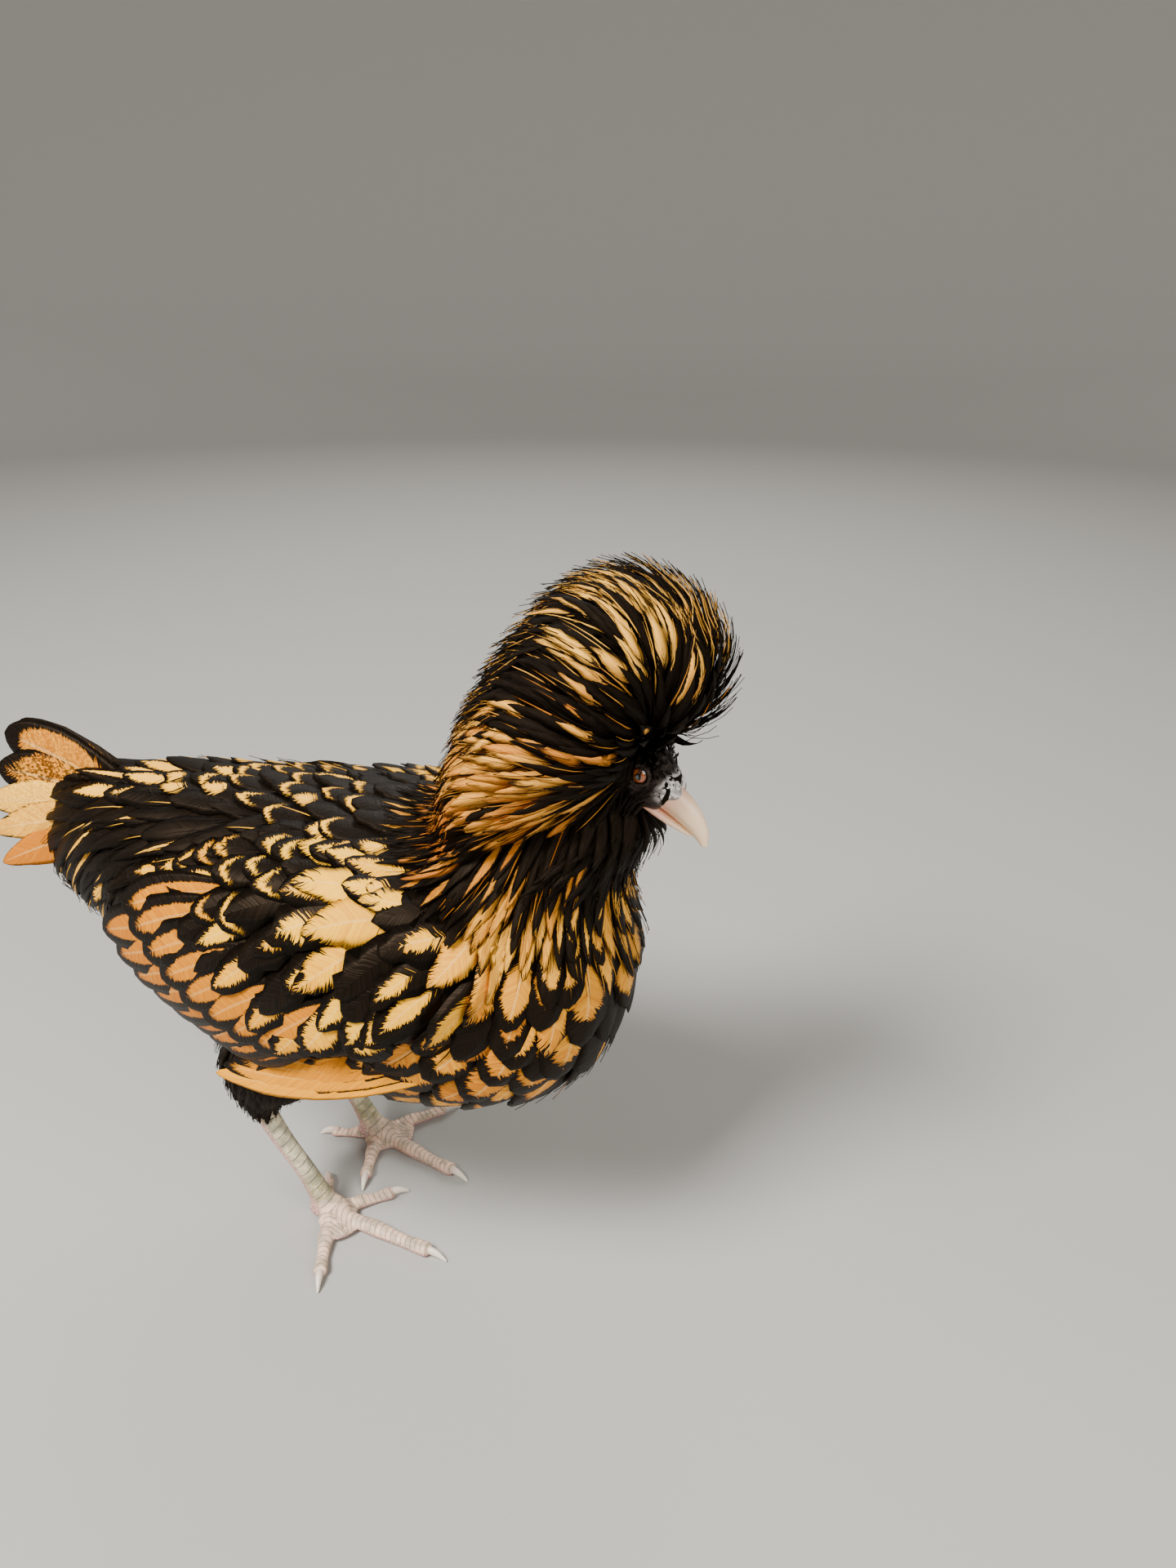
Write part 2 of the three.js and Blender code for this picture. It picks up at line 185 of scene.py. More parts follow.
# A claw: share of its length past the toe's end, mm added, height, half width, half depth
CLAW = [(0, -2, 3.6, 2.0, 2.0), (0.3, 0, 3.9, 1.9, 2.2), (0.65, 0, 2.9, 1.3, 1.6), (0.95, 0, 0.9, 0.6, 0.7)]
# Scutes: length of a plate on the shank and on a toe in mm, how far its edge is bowed, the joint's
# ramp from a plate's middle, and the height over the limb's axis from which it has plates
SCUTE_SHANK = 5.2
SCUTE_TOE = 3.2
SCUTE_BEND = 1.2
JOINT_EDGE = (0.36, 0.48)
PLATED_FROM = (0.05, 0.45)
CELL_RATE = 0.55  # small round scales per mm
CREASE_EDGE = (0.02, 0.16)
LINE_SHARE = 0.45
# Heights in mm between which the toes' colour, paler in part as painted light, turns to the shank's, and the
# ankle's stain comes and goes
TOES_TO_SHANK = (9.0, 20.0)
STAIN_LOW = (12.0, 18.0)
STAIN_HIGH = (22.0, 34.0)
STAIN_SHARE = 0.7

# Kinds of feather: pointedness, then the gold mark's middle, half length and half width as shares
# of the feather, how ragged its edge is, and the share of it that a dark core takes
KINDS = {
    "laced": (0.05, 0.5, 0.28, 0.62, 0.3, 0),
    "double": (0.05, 0.55, 0.32, 0.72, 0.2, 0.6),
    "oval": (0.25, 0.58, 0.3, 0.5, 0.4, 0),
    "ragged": (0.35, 0.66, 0.17, 0.42, 0.8, 0),
    "spangle": (0.25, 0.78, 0.13, 0.55, 0.8, 0),
    "crescent": (0.1, 0.64, 0.26, 0.75, 0.25, 1.1),
    "streak": (0.8, 0.55, 0.38, 0.6, 0.35, 0),
    "line": (0.95, 0.55, 0.4, 0.22, 0.3, 0),
    "patch": (0.4, 0.5, 0.44, 1.0, 0.4, 0),
    "bow": (0.45, 0.52, 0.45, 1.05, 0.6, 0),
    "brush": (0.8, 0.64, 0.25, 1.2, 0.9, 0),
    "sweep": (0.7, 0.6, 0.34, 1.6, 0.7, 0),
    "plain": (0.6, 0.5, 0.3, 0.4, 0.3, 0),
}

# Feather tracts. Each row is one place on the bird's right side (mirrored on the left) and what grows
# there: x, -y, z; lie x, outward, up; kind; spacing, length, width and tip lift in mm;
# gold tone from 0 deep orange to 1 pale straw; share of the feathers that carry the mark
TRACTS = {
    "trunk": [
        (62, 5, 252, -1, 0, 0, "crescent", 11, 36, 20, 1.0, 0.9, 0.85),
        (62, 36, 245, -1, 0.1, -0.1, "spangle", 10.5, 34, 18, 1.0, 0.85, 0.6),
        (21, 24, 249, -1, 0, 0, "spangle", 10.5, 34, 18, 0.8, 0.9, 0.5),
        (21, 5, 252, -1, 0, 0, "crescent", 11, 36, 20, 1.0, 0.9, 0.85),
        (-9, 46, 237, -0.9, 0.2, -0.3, "plain", 10, 36, 17, 0.8, 0.8, 0.1),
        (-35, 7, 249, -1, 0, 0, "crescent", 11, 38, 20, 0.8, 0.95, 0.85),
        (-50, 28, 242, -0.95, 0.1, -0.2, "spangle", 10, 40, 16, 1.0, 1.0, 0.5),
        (-56, 47, 229, -0.9, 0.1, -0.5, "line", 9, 42, 13, 1.0, 0.85, 0.1),
        (-84, 8, 246, -1, 0, 0, "oval", 11, 40, 18, 1.0, 1.0, 0.9),
        (-84, 20, 243, -1, 0, -0.1, "oval", 11, 40, 18, 1.0, 1.0, 0.6),
        (-92, 31, 237, -0.9, 0.1, -0.5, "line", 8, 54, 11, 1.5, 0.9, 0.3),
        (-110, 39, 215, -0.75, 0.1, -0.8, "line", 7.5, 58, 10, 1.5, 0.85, 0.35),
        (-136, 29, 185, -0.5, 0.1, -1, "line", 7, 46, 9, 1.5, 0.8, 0.3),
        (-120, 6, 244, -1, 0, 0.05, "patch", 9, 50, 17, 2.5, 0.9, 0.8),
        (-135, 14, 236, -1, 0, -0.15, "line", 8, 48, 13, 1.5, 0.9, 0.4),
        (-80, 54, 190, -0.6, 0, -0.9, "plain", 7, 36, 10, 2.0, 0.4, 0.0),
        (-70, 50, 150, -0.4, 0, -1, "plain", 7, 32, 9, 1.5, 0.4, 0.0),
        (-30, 40, 118, -0.3, 0, -1, "plain", 6, 24, 8, 1.0, 0.4, 0.0),
        (0, 45, 108, -0.8, 0, -0.6, "plain", 7, 22, 10, 0.8, 0.4, 0.1),
        (165, 10, 200, -0.15, 0, -1, "laced", 14.5, 42, 29, 1.0, 0.55, 1.0),
        (165, 10, 180, -0.2, 0, -1, "laced", 14.5, 40, 29, 1.0, 0.4, 0.9),
        (159, 29, 181, -0.25, 0.1, -1, "laced", 15, 40, 30, 1.0, 0.45, 1.0),
        (155, 33, 204, -0.2, 0.05, -1, "laced", 14.5, 44, 29, 1.3, 0.65, 0.95),
        (136, 53, 208, -0.4, 0.1, -1, "bow", 9, 44, 19, 2.0, 0.55, 0.75),
        (118, 68, 196, -0.75, 0.1, -0.7, "bow", 9, 42, 20, 1.5, 0.5, 0.45),
        (135, 61, 183, -0.4, 0.1, -1, "laced", 15, 40, 30, 1.2, 0.4, 1.0),
        (152, 46, 167, -0.5, 0.05, -0.9, "laced", 15, 39, 30, 1.0, 0.4, 1.0),
        (120, 65, 155, -0.75, 0, -0.7, "double", 14, 36, 28, 1.0, 0.4, 1.0),
        (100, 68, 145, -0.85, 0, -0.55, "laced", 13, 35, 26, 1.0, 0.4, 1.0),
        (87, 67, 137, -0.9, 0, -0.45, "laced", 12, 32, 24, 1.0, 0.35, 1.0),
        (125, 35, 124, -0.8, 0, -0.5, "laced", 12, 32, 24, 1.0, 0.4, 0.8),
        (150, 5, 135, -0.6, 0, -0.8, "plain", 7, 30, 9, 2.0, 0.4, 0.0),
        (159, 10, 152, -0.4, 0, -0.9, "plain", 7, 30, 9, 2.0, 0.4, 0.1),
        (146, 26, 130, -0.6, 0, -0.8, "plain", 7, 30, 9, 2.0, 0.4, 0.1),
        (60, 20, 102, -1, 0, 0, "laced", 10, 32, 16, 1.0, 0.4, 0.4),
        (40, 58, 118, -0.9, 0, -0.4, "laced", 9, 28, 16, 0.8, 0.4, 0.9),
    ],
    "neck": [
        (165, 15, 248, -0.3, 0, -1, "plain", 5, 30, 6, 1.5, 0.3, 0.0),
        (163, 10, 236, -0.15, 0, -1, "plain", 6, 34, 10, 1.5, 0.4, 0.1),
        (163, 12, 218, -0.15, 0, -1, "laced", 13, 42, 26, 1.2, 0.7, 0.95),
        (155, 28, 240, -0.3, 0, -1, "plain", 5.5, 34, 8, 1.5, 0.3, 0.05),
        (152, 34, 219, -0.25, 0, -1, "laced", 13, 44, 25, 1.2, 0.7, 0.9),
        (148, 33, 254, -0.5, 0, -0.9, "plain", 5, 32, 6, 1.5, 0.2, 0.03),
        (137, 42, 238, -0.3, 0.1, -1, "streak", 4.8, 36, 6.5, 1.5, 0.2, 0.4),
        (137, 48, 220, -0.3, 0.1, -1, "bow", 8, 42, 15, 1.5, 0.6, 0.7),
        (128, 40, 254, -0.35, 0, -1, "streak", 4.6, 34, 5, 1.5, 0.1, 0.35),
        (115, 47, 244, -0.4, 0.1, -1, "streak", 4.8, 34, 6, 1.5, 0.2, 0.45),
        (116, 58, 222, -0.4, 0.1, -1, "bow", 7, 38, 13, 1.5, 0.55, 0.6),
        (100, 48, 234, -0.4, 0.2, -1, "streak", 5, 24, 7, 0.5, 0.3, 0.25),
        (80, 20, 245, -1, 0, -0.3, "streak", 5.5, 28, 7, 0.5, 0.5, 0.35),
    ],
    "crest": [
        (153, 9, 366, -0.7, 0, 0.1, "brush", 4.2, 36, 6.8, 4.5, 0.85, 0.55),
        (180, 22, 360, -0.25, 0, 0.2, "brush", 4.2, 36, 6.5, 4.5, 1.0, 0.65),
        (198, 16, 354, 0.0, 0, 0.3, "streak", 4.2, 34, 6, 4.5, 0.9, 0.6),
        (204, 22, 336, 0.1, 0, 0.3, "plain", 4.2, 34, 6, 4.0, 0.4, 0.0),
        (192, 34, 342, 0.1, 0, 0.2, "plain", 4.2, 34, 6, 3.5, 0.4, 0.1),
        (206, 8, 324, 0.3, 0, 0.2, "plain", 4.4, 34, 6, 4.0, 0.4, 0.0),
        (198, 34, 326, 0.3, 0, 0.2, "plain", 4.4, 34, 6, 4.0, 0.4, 0.0),
        (190, 12, 302, 0.8, 0, -0.1, "plain", 4.2, 25, 5, 3.0, 0.4, 0.0),
        (178, 40, 350, 0, 0, 0.2, "brush", 4.2, 36, 6.5, 3.5, 0.85, 0.55),
        (164, 50, 337, -0.3, 0, 0.1, "brush", 4.2, 36, 7, 3.0, 0.4, 0.4),
        (127, 4, 346, -0.9, 0, -0.6, "brush", 4.2, 38, 7, 3.5, 0.8, 0.45),
        (150, 40, 354, -0.5, 0, 0.1, "brush", 4.2, 38, 7, 4.5, 0.95, 0.65),
        (135, 50, 334, -0.5, 0, 0, "brush", 4.4, 38, 8, 3.0, 0.35, 0.15),
        (122, 36, 342, -0.8, 0, -0.5, "brush", 4.4, 38, 8, 3.0, 0.7, 0.3),
        (99, 27, 316, -0.5, 0, -0.5, "brush", 4.4, 38, 8, 3.0, 0.65, 0.5),
        (123, 55, 312, -0.5, 0, -0.2, "sweep", 4.6, 40, 9, 3.0, 0.5, 0.75),
        (146, 56, 320, -0.3, 0, -0.1, "brush", 4.4, 36, 8, 3.0, 0.4, 0.45),
        (175, 48, 320, 0, 0, 0.1, "brush", 4.4, 34, 7, 3.0, 0.5, 0.45),
        (172, 45, 298, -0.1, 0, 0, "plain", 4.4, 30, 6, 3.0, 0.3, 0.0),
        (158, 52, 304, -0.1, 0, 0, "sweep", 4.4, 32, 7, 3.0, 0.5, 0.35),
        (182, 31, 306, 0.2, 0, 0, "plain", 4.2, 24, 5, 2.0, 0.3, 0.0),
        (108, 52, 288, -0.5, 0, -0.6, "sweep", 4.6, 42, 10, 3.0, 0.45, 0.75),
        (133, 52, 290, -0.5, 0, -0.35, "sweep", 4.6, 40, 10, 3.0, 0.5, 0.78),
        (125, 46, 274, -0.5, 0, -0.5, "sweep", 4.6, 38, 9, 2.5, 0.4, 0.72),
        (150, 43, 284, -0.5, 0, -0.3, "sweep", 4.6, 34, 8, 2.0, 0.5, 0.7),
        (168, 34, 289, -0.3, 0, -0.1, "plain", 4.2, 22, 5, 1.5, 0.3, 0.0),
        (94, 38, 266, -0.3, 0, -1, "streak", 4.6, 38, 8, 1.5, 0.2, 0.5),
        (90, 5, 288, -0.3, 0, -1, "streak", 4.6, 38, 8, 2.5, 0.4, 0.4),
    ],
    "beard": [
        (171, 12, 262, -0.6, 0.2, -0.7, "plain", 3.4, 16, 3.6, 1.5, 0.3, 0.0),
        (160, 24, 256, -0.8, 0.15, -0.6, "plain", 4.2, 28, 4.5, 2.5, 0.3, 0.0),
        (142, 33, 256, -0.9, 0.1, -0.45, "plain", 4.4, 34, 5, 3.0, 0.3, 0.02),
        (128, 28, 262, -0.9, 0.1, -0.5, "streak", 4.6, 34, 5, 2.5, 0.1, 0.15),
    ],
    "head": [
        (178, 8, 282, -0.7, 0.4, 0.3, "plain", 2.6, 5, 1.8, 0.3, 0.3, 0.0),
        (170, 14, 282, -1, 0.1, -0.3, "plain", 2.8, 7, 2.2, 0.4, 0.3, 0.0),
        (172, 12, 272, -0.9, 0.1, -0.5, "plain", 2.8, 8, 2.4, 0.6, 0.3, 0.0),
        (160, 16, 290, -1, 0.1, 0, "plain", 3.4, 12, 3.2, 1.0, 0.3, 0.0),
    ],
    "wing": [
        (90, 54, 238, -0.95, 0, -0.25, "bow", 10, 44, 23, 4.0, 0.8, 0.95),
        (68, 58, 235, -0.9, 0, -0.45, "bow", 11, 44, 24, 2.5, 0.75, 0.95),
        (104, 60, 224, -0.9, 0, -0.5, "bow", 9, 42, 20, 3.5, 0.75, 0.9),
        (50, 50, 241, -0.95, 0, -0.3, "oval", 10, 34, 20, 1.5, 0.8, 0.8),
        (38, 65, 230, -0.85, 0, -0.5, "bow", 11, 36, 20, 1.0, 0.75, 0.75),
        (12, 66, 230, -0.85, 0, -0.5, "crescent", 10, 34, 20, 1.0, 0.75, 0.9),
        (-18, 62, 227, -0.85, 0, -0.5, "crescent", 9, 32, 17, 1.5, 0.5, 0.85),
        (60, 80, 213, -0.7, 0, -0.7, "ragged", 11, 36, 18, 2.0, 0.7, 0.55),
        (83, 78, 209, -0.55, 0, -0.85, "ragged", 9.5, 40, 21, 2.0, 0.75, 0.55),
        (32, 82, 208, -0.65, 0, -0.8, "ragged", 11, 38, 18, 2.0, 0.75, 0.65),
        (5, 77, 210, -0.75, 0, -0.65, "oval", 11, 36, 17, 1.5, 0.7, 0.6),
        (60, 82, 190, -0.62, 0, -0.8, "oval", 14.5, 42, 26, 2.0, 0.75, 0.7),
        (90, 76, 192, -0.55, 0, -0.85, "oval", 12.5, 42, 25, 2.0, 0.8, 0.65),
        (30, 83, 190, -0.62, 0, -0.8, "oval", 14.5, 42, 26, 2.5, 0.7, 0.75),
        (7, 82, 178, -0.62, 0, -0.75, "oval", 13.5, 38, 25, 3.5, 0.5, 0.95),
        (40, 82, 170, -0.7, 0, -0.7, "laced", 13, 36, 25, 3.0, 0.45, 0.95),
        (80, 78, 176, -0.7, 0, -0.7, "laced", 12, 36, 22, 1.5, 0.5, 0.9),
        (-20, 78, 195, -0.75, 0, -0.65, "streak", 11, 36, 16, 4.0, 0.7, 0.7),
        (-14, 78, 172, -0.75, 0, -0.6, "laced", 12, 34, 22, 4.5, 0.35, 0.9),
        (-42, 70, 208, -0.85, 0, -0.5, "laced", 12, 36, 20, 5.0, 0.6, 0.9),
        (-60, 65, 195, -0.8, 0, -0.6, "laced", 12, 34, 20, 5.0, 0.5, 0.9),
    ],
    "thigh": [
        (-5, 62, 120, -0.3, 0, -1, "plain", 5, 24, 6, 1.0, 0.3, 0.0),
        (8, 45, 95, -0.6, 0, -1, "plain", 4.5, 14, 6, 0.3, 0.3, 0.0),
        (-50, 40, 105, -0.1, 0, -1, "plain", 5, 22, 6, 1.5, 0.3, 0.0),
        (-30, 36, 72, 0, 0, -1, "plain", 3.4, 11, 3.6, 0.5, 0.3, 0.0),
    ],
    "tail": [
        (-110, 18, 235, -1, 0, 0.1, "patch", 8, 50, 17, 1.5, 0.95, 0.4),
        (-130, 20, 210, -0.9, 0, -0.4, "line", 7, 54, 12, 2.0, 0.8, 0.4),
        (-140, 16, 188, -0.7, 0, -0.8, "line", 7, 44, 10, 2.0, 0.5, 0.3),
        (-160, 10, 205, -0.9, 0, -0.5, "line", 7, 36, 11, 1.5, 0.7, 0.3),
    ],
}
TRAIT_NAMES = ("spacing", "length", "width", "lift", "tone", "share")
ROW_REACH = 10.0  # mm over which neighbouring rows of a tract blend into each other
ASIDE_ONLY = (False, True, False)  # which of x, y, z is mirrored

# Fine loose strands over the coat: tract, spacing, length share and width in mm
STRANDS = {
    "crest": (2.8, 0.95, 0.7),
    "beard": (3.0, 1.1, 0.6),
    "neck": (4.0, 0.9, 0.7),
    "thigh": (4.0, 1.0, 0.7),
    "tail": (7.0, 0.8, 0.8),
    "trunk": (7.0, 0.9, 0.8),
}
STRANDS_BLACK = 0.55  # on the trunk strands grow only where a smaller share of feathers is marked
STRAND_SPREAD = 0.3
STRAND_LIFT = 1.3  # times the lift of the feathers below, and 1 mm more
STRAND_HUG = 0.8  # how closely they follow the surface
STRAND_SHOWN = 3  # the station whose place gives a strand its look
STRAND_WIDEST = 0.3
STRAND_CHANCE = (0.6, 0.8)  # lowest share and span of the width
STRAND_MARK = (0.45, 0.5, 2.0, 0.0)
STRAND_GOLD = 0.5  # marked strands for each marked feather
# How far the marked feathers keep together in patches, and the patches' size in mm
PATCHES = {"crest": (0.4, 30), "neck": (0.4, 30), "wing": (0.1, 40), "trunk": (0.15, 40)}

# How each tract's lie wanders: by how much, over waves of how many mm; and each feather's own spread
UNREST = {
    "trunk": (0.10, 60),
    "wing": (0.08, 50),
    "neck": (0.14, 30),
    "crest": (0.22, 34),
    "beard": (0.25, 24),
    "head": (0.2, 10),
    "thigh": (0.2, 30),
    "tail": (0.15, 40),
}
WAVE_SCALE = 1.8  # brings the waves' mean to about -1 to 1
SPREAD = {
    "trunk": 0.25,
    "wing": 0.25,
    "neck": 0.4,
    "crest": 0.35,
    "beard": 0.5,
    "head": 0.5,
    "thigh": 0.5,
    "tail": 0.3,
}
# Bake unwraps: a point of the part's axis, the two directions across it, and the direction along it
UNWRAPS = {
    "trunk": ((0, 180), (1, 2), (1, 0, 0)),
    "wing": ((0, 180), (1, 2), (1, 0, 0)),
    "tail": ((0, 210), (1, 2), (1, 0, 0)),
    "neck": ((0, 120), (1, 0), (0.3, 0, 1)),
    "thigh": ((0, -10), (1, 0), (0, 0, 1)),
    "crest": ((0, 300), (1, 2), (1, 0, 0.2)),
    "beard": ((0, 265), (1, 2), (1, 0, 0)),
    "head": ((0, 284), (1, 2), (1, 0, -0.3)),
}
# Shares of the bake map: a coat's rim and patches, and the gap round a big feather's tile
CHART_RIM = 0.002
CHART_PATCH = 0.003
TILE_GAP = 0.02
TRIES = 9  # random places tried per place wanted
FOLLOW = 0.3  # how far a spine's heading turns to the lie of its place at each step
COAT_HUG = 1.0  # how closely the feathers follow the surface
SHOWN = 5  # the station whose place gives a feather its look
MOST_BEND = 4.0  # mm that a feather's edge may be bent to follow the surface
ROOT_WIDTH = 0.4  # widths at the root and at least at the tip, and where a feather is widest
TIP_WIDTH = 0.04
WIDEST = 0.55
WIDEST_BACK = 0.25  # how much nearer the root that is for a pointed feather
# Chance in each feather: the lowest share and the span of its size and lift, and the whole width of
# its roll, its tone and its mark's numbers
SIZE_CHANCE = (0.85, 0.3)
LIFT_CHANCE = (0.5, 1.0)
ROLL_SWAY = 0.2
TONE_SWAY = 0.3
MARK_SWAY = 0.3
# Coverts of the wing: mm of quills left bare along the lower rim, the height under which that holds,
# how much shorter the coverts there may get and how fast, and the share of them that is measured
RIM_STRIP = 12
RIM_BELOW = 195
MOST_TRIM = 9
TRIM_RATE = 1.3
COVERT_SHARE = 0.9
BARE_QUILLS = (-14, 178, 0.56, 0.83)  # a point x, z of the coverts' edge and the way in from it
BARE_OVERLAP = 4
UNDER_LIFT = -4

# The marks of a feather. Barbs: how many numbers of the noise lie along it, how steeply the barbs run
# to the tip, the rates of clumps and of single barbs, and how far each frays the mark's edge
BARB_RATE = 3.0
BARB_SLANT = 0.8
CLUMP_RATE = 4.5
SINGLE_RATE = 15.0
CLUMP_FRAY = 2.2
SINGLE_FRAY = 3.4
PICK_SPREAD = 57.0  # how far apart the noise of two feathers is, and that of a feather's two flanks
FLANK_SPREAD = 4.0
OFF_VANE = -5.0  # where the mark of a feather without one is put
MARK_EDGE = (0.95, 1.05)
CORE_EDGE = (0.9, 1.1)
CORE_BACK = 0.45  # how far the dark core sits back in the mark
SPECK_RATES = (12.0, 55.0)  # stipple across and along
SPECK_EDGE = (0.46, 0.54)
SHAFT_EDGE = (0.03, 0.08)  # from the middle, of the half width
SHEEN = "DDBB98"  # the brown light of the feathers' shine
OBJECT_PLACE = 3  # the output of the place node that gives an object's own place

# Tail feathers of one side: tip x, y, z; then half width, pointedness, the gold mark's middle, half
# length, half width and dark core, gold tone, raggedness and stipple
TAIL_ROOT = np.array([-92.0, 7.0, 214.0])
TAIL_BOW = np.array([0, 0, 6.0])
TAIL_UP = 0.22  # how far up these feathers' flat sides face
TAIL_FEATHERS = [
    ((-180, 3, 247), (14, 0.1, OFF_VANE, 0.3, 0.5, 0, 0.3, 0.1, 0)),
    ((-187, 5, 254), (16, 0.1, 0.64, 0.25, 0.74, 0, 0.3, 0.12, 0.35)),
    ((-185, 8, 228), (14, 0.2, OFF_VANE, 0.3, 0.5, 0, 0.3, 0.1, 0)),
    ((-191, 11, 235), (15, 0.1, 0.6, 0.3, 0.8, 0, 0.3, 0.2, 0.8)),
    ((-184, 14, 206), (12, 0.3, OFF_VANE, 0.3, 0.5, 0, 0.3, 0.1, 0)),
    ((-198, 17, 217), (12, 0.4, 0.6, 0.45, 1.2, 0, 1.0, 0.4, 0.3)),
    ((-194, 22, 202), (11, 0.5, 0.6, 0.45, 1.2, 0, 0.6, 0.4, 0.2)),
    ((-186, 26, 186), (11, 0.5, 0.5, 0.6, 1.2, 0, 0.1, 0.3, 0.1)),
]
# Quills of one wing, lowest first: tip x, z; the shaft runs forward and up from it
SECONDARY_TIPS = [
    (-2, 140),
    (-14, 141),
    (-26, 143),
    (-38, 146),
    (-50, 151),
    (-61, 157),
    (-71, 165),
    (-80, 175),
    (-87, 187),
]
SECONDARY_LOOK = (12.5, 0.05, 0.43, 0.49, 0.56, 0, 0.3, 0.1, 0)
TERTIAL_TIPS = [(8, 153), (-6, 156), (-20, 161), (-33, 168), (-44, 177), (-54, 187), (-62, 198), (-66, 208)]
TERTIAL_LOOK = (12, 0.05, 0.4, 0.47, 0.5, 0, 0.4, 0.15, 0)
# Tips, look, length, and how far the lowest one's tip stands out; each next one stands out a step more
WING_QUILLS = [(SECONDARY_TIPS, SECONDARY_LOOK, 78, 0), (TERTIAL_TIPS, TERTIAL_LOOK, 60, 0.8)]
QUILL_STEP = 0.5
QUILL_TURNS = (38, 18)  # degrees that the shafts rise forward, lowest to top
QUILL_WIDEST = 0.66
QUILL_BOW = 3
QUILL_SUNK = 4  # mm that a root lies under the surface
QUILL_UPRIGHT = 0.6  # the share of the surface's upward slope that the quills follow
DEPTHS = np.linspace(20, 105, 171)  # mm from the middle at which the wing's surface is looked for
LEAST_DEPTH = 30
# Primaries of one wing: root x, z, tip x, z and how far out; then as for the tail
PRIMARY_FEATHERS = [
    ((80, 173, 8, 147, 1.5), (8.5, 0.2, 0.46, 0.5, 0.8, 0, 0.35, 0.1, 0)),
    ((82, 169, 0, 143, 2.3), (8.5, 0.2, 0.42, 0.48, 0.8, 0, 0.35, 0.15, 0)),
    ((84, 164, -8, 138, 3.1), (8.5, 0.2, 0.42, 0.47, 0.82, 0, 0.5, 0.15, 0)),
    ((86, 159, -15, 133, 3.9), (8, 0.2, 0.42, 0.48, 0.85, 0, 0.5, 0.15, 0)),
    ((87, 154, -21, 128, 4.7), (7.5, 0.2, 0.43, 0.5, 0.9, 0, 0.65, 0.1, 0)),
    ((86, 149, -26, 122, 5.5), (6.5, 0.25, 0.5, 0.7, 1.5, 0, 0.9, 0.1, 0)),
]
PRIMARIES_OUT = [(-24, 66), (-14, 67), (8, 70), (38, 73), (64, 75), (84, 75)]  # x, outer |y|
PRIMARY_SUNK = 9  # mm that a primary's root lies under that line
PRIMARY_UP = 0.25

# The face: a collar of skin round the bill's base, as the bill's rows, and on each side two lumps, a
# nostril dome and a lobe of the comb: along, up and out in the head's frame, radii, tip in radians
CERE = [(-5, 4.0, 8.6, 10.0), (0, 4.6, 7.6, 8.4), (3.5, 5.0, 6.6, 6.8)]
CERE_BLEND = 3.0
FACE_LUMPS = [
    (3.0, 11.2, 3.4, (6.6, 3.6, 5.4), 0.0),
    (-2.5, 16.0, 2.4, (4.4, 2.2, 3.6), -0.3),
]
LUMP_BLEND = 1.2
LID_RADIUS = 4.5
LID_THICK = 1.0
LID_OUT = 2.7  # mm past the eyeball's middle
LID_BLEND = 1.5
SOCKET_GAP = 0.15
SOCKET_BLEND = 0.6
EYE_BARE = 5.0  # mm from the eye's axis that feathers keep
IRIS_EDGE = (2.6, 3.5)  # mm from the eye's axis
PUPIL_EDGE = (1.45, 1.65)
KNOB = (3.0, 11.2)  # middle of the nostril domes, along and up
KNOB_BARE = 8.0  # mm from it that feathers keep
DOMES_EDGE = (6, 9.5)  # mm from it over which the domes' pale skin, with its painted highlight, fades
BILL_BARE = 0.5  # mm past the mouth's corner from which the bill is bare

COVE_RADIUS = 2.6  # m: the flat floor's radius, the bend's, and the wall's height
COVE_BEND = 1.0
COVE_HEIGHT = 3.6
COVE_STEPS = 17
COVE_SIDES = 96
LIGHTS_AIM = (0, 0, 0.2)
LIGHTS = [  # name, place and size in m, watts
    ("key", (-0.5, -1.2, 1.9), 0.8, 116),
    ("fill", (1.6, -0.9, 1.1), 1.2, 28),
    ("back", (-0.4, 1.6, 1.6), 1.2, 22),
]
WORLD_LIGHT = 0.3
CAMERA_PLACE = (304.3, -443.1, 500.0)
CAMERA_PITCH = 64.5
CAMERA_YAW = 20.0
FOCAL_SHARE = 1442 / 1920  # focal length as a share of the frame's longer side
SENSOR = 36.0

VANE_STATIONS = np.array([0, 0.17, 0.34, 0.5, 0.64, 0.77, 0.87, 0.95, 1.0])
STRAND_STATIONS = np.array([0, 0.3, 0.55, 0.8, 1.0])
QUILL_STATIONS = np.array([0, 0.12, 0.24, 0.36, 0.47, 0.57, 0.66, 0.74, 0.81, 0.87, 0.92, 0.96, 0.985, 1.0])
QUILL_CROSS = np.array([-1, -0.75, -0.5, -0.25, 0, 0.25, 0.5, 0.75, 1.0])
BROAD = np.array([-1, -0.5, 0, 0.5, 1.0])
NARROW = np.array([-1, 0, 1.0])
BLADE = np.array([-1, 1.0])


def unit(v):
    return v / np.maximum(np.linalg.norm(v, axis=-1, keepdims=True), 1e-9)


def through(rows, count):
    """A smooth curve through rows of numbers: on each stretch b + f/2 (c - a + f (2a - 5b + 4c - d
    + f (3(b - c) + d - a))), where b and c are its ends, a and d the rows beyond them and f the way."""
    rows = np.array(rows, float)
    place = np.linspace(0, len(rows) - 1, count)
    stretch = np.minimum(place.astype(int), len(rows) - 2)
    f = (place - stretch)[:, None]
    a, b, c, d = (rows[np.clip(stretch + k, 0, len(rows) - 1)] for k in (-1, 0, 1, 2))
    return b + 0.5 * f * (c - a + f * (2 * a - 5 * b + 4 * c - d + f * (3 * (b - c) + d - a)))


def travelled(points):
    """The distance along a line of points to each of them."""
    return np.concatenate([[0], np.cumsum(np.linalg.norm(np.diff(points, axis=0), axis=1))])


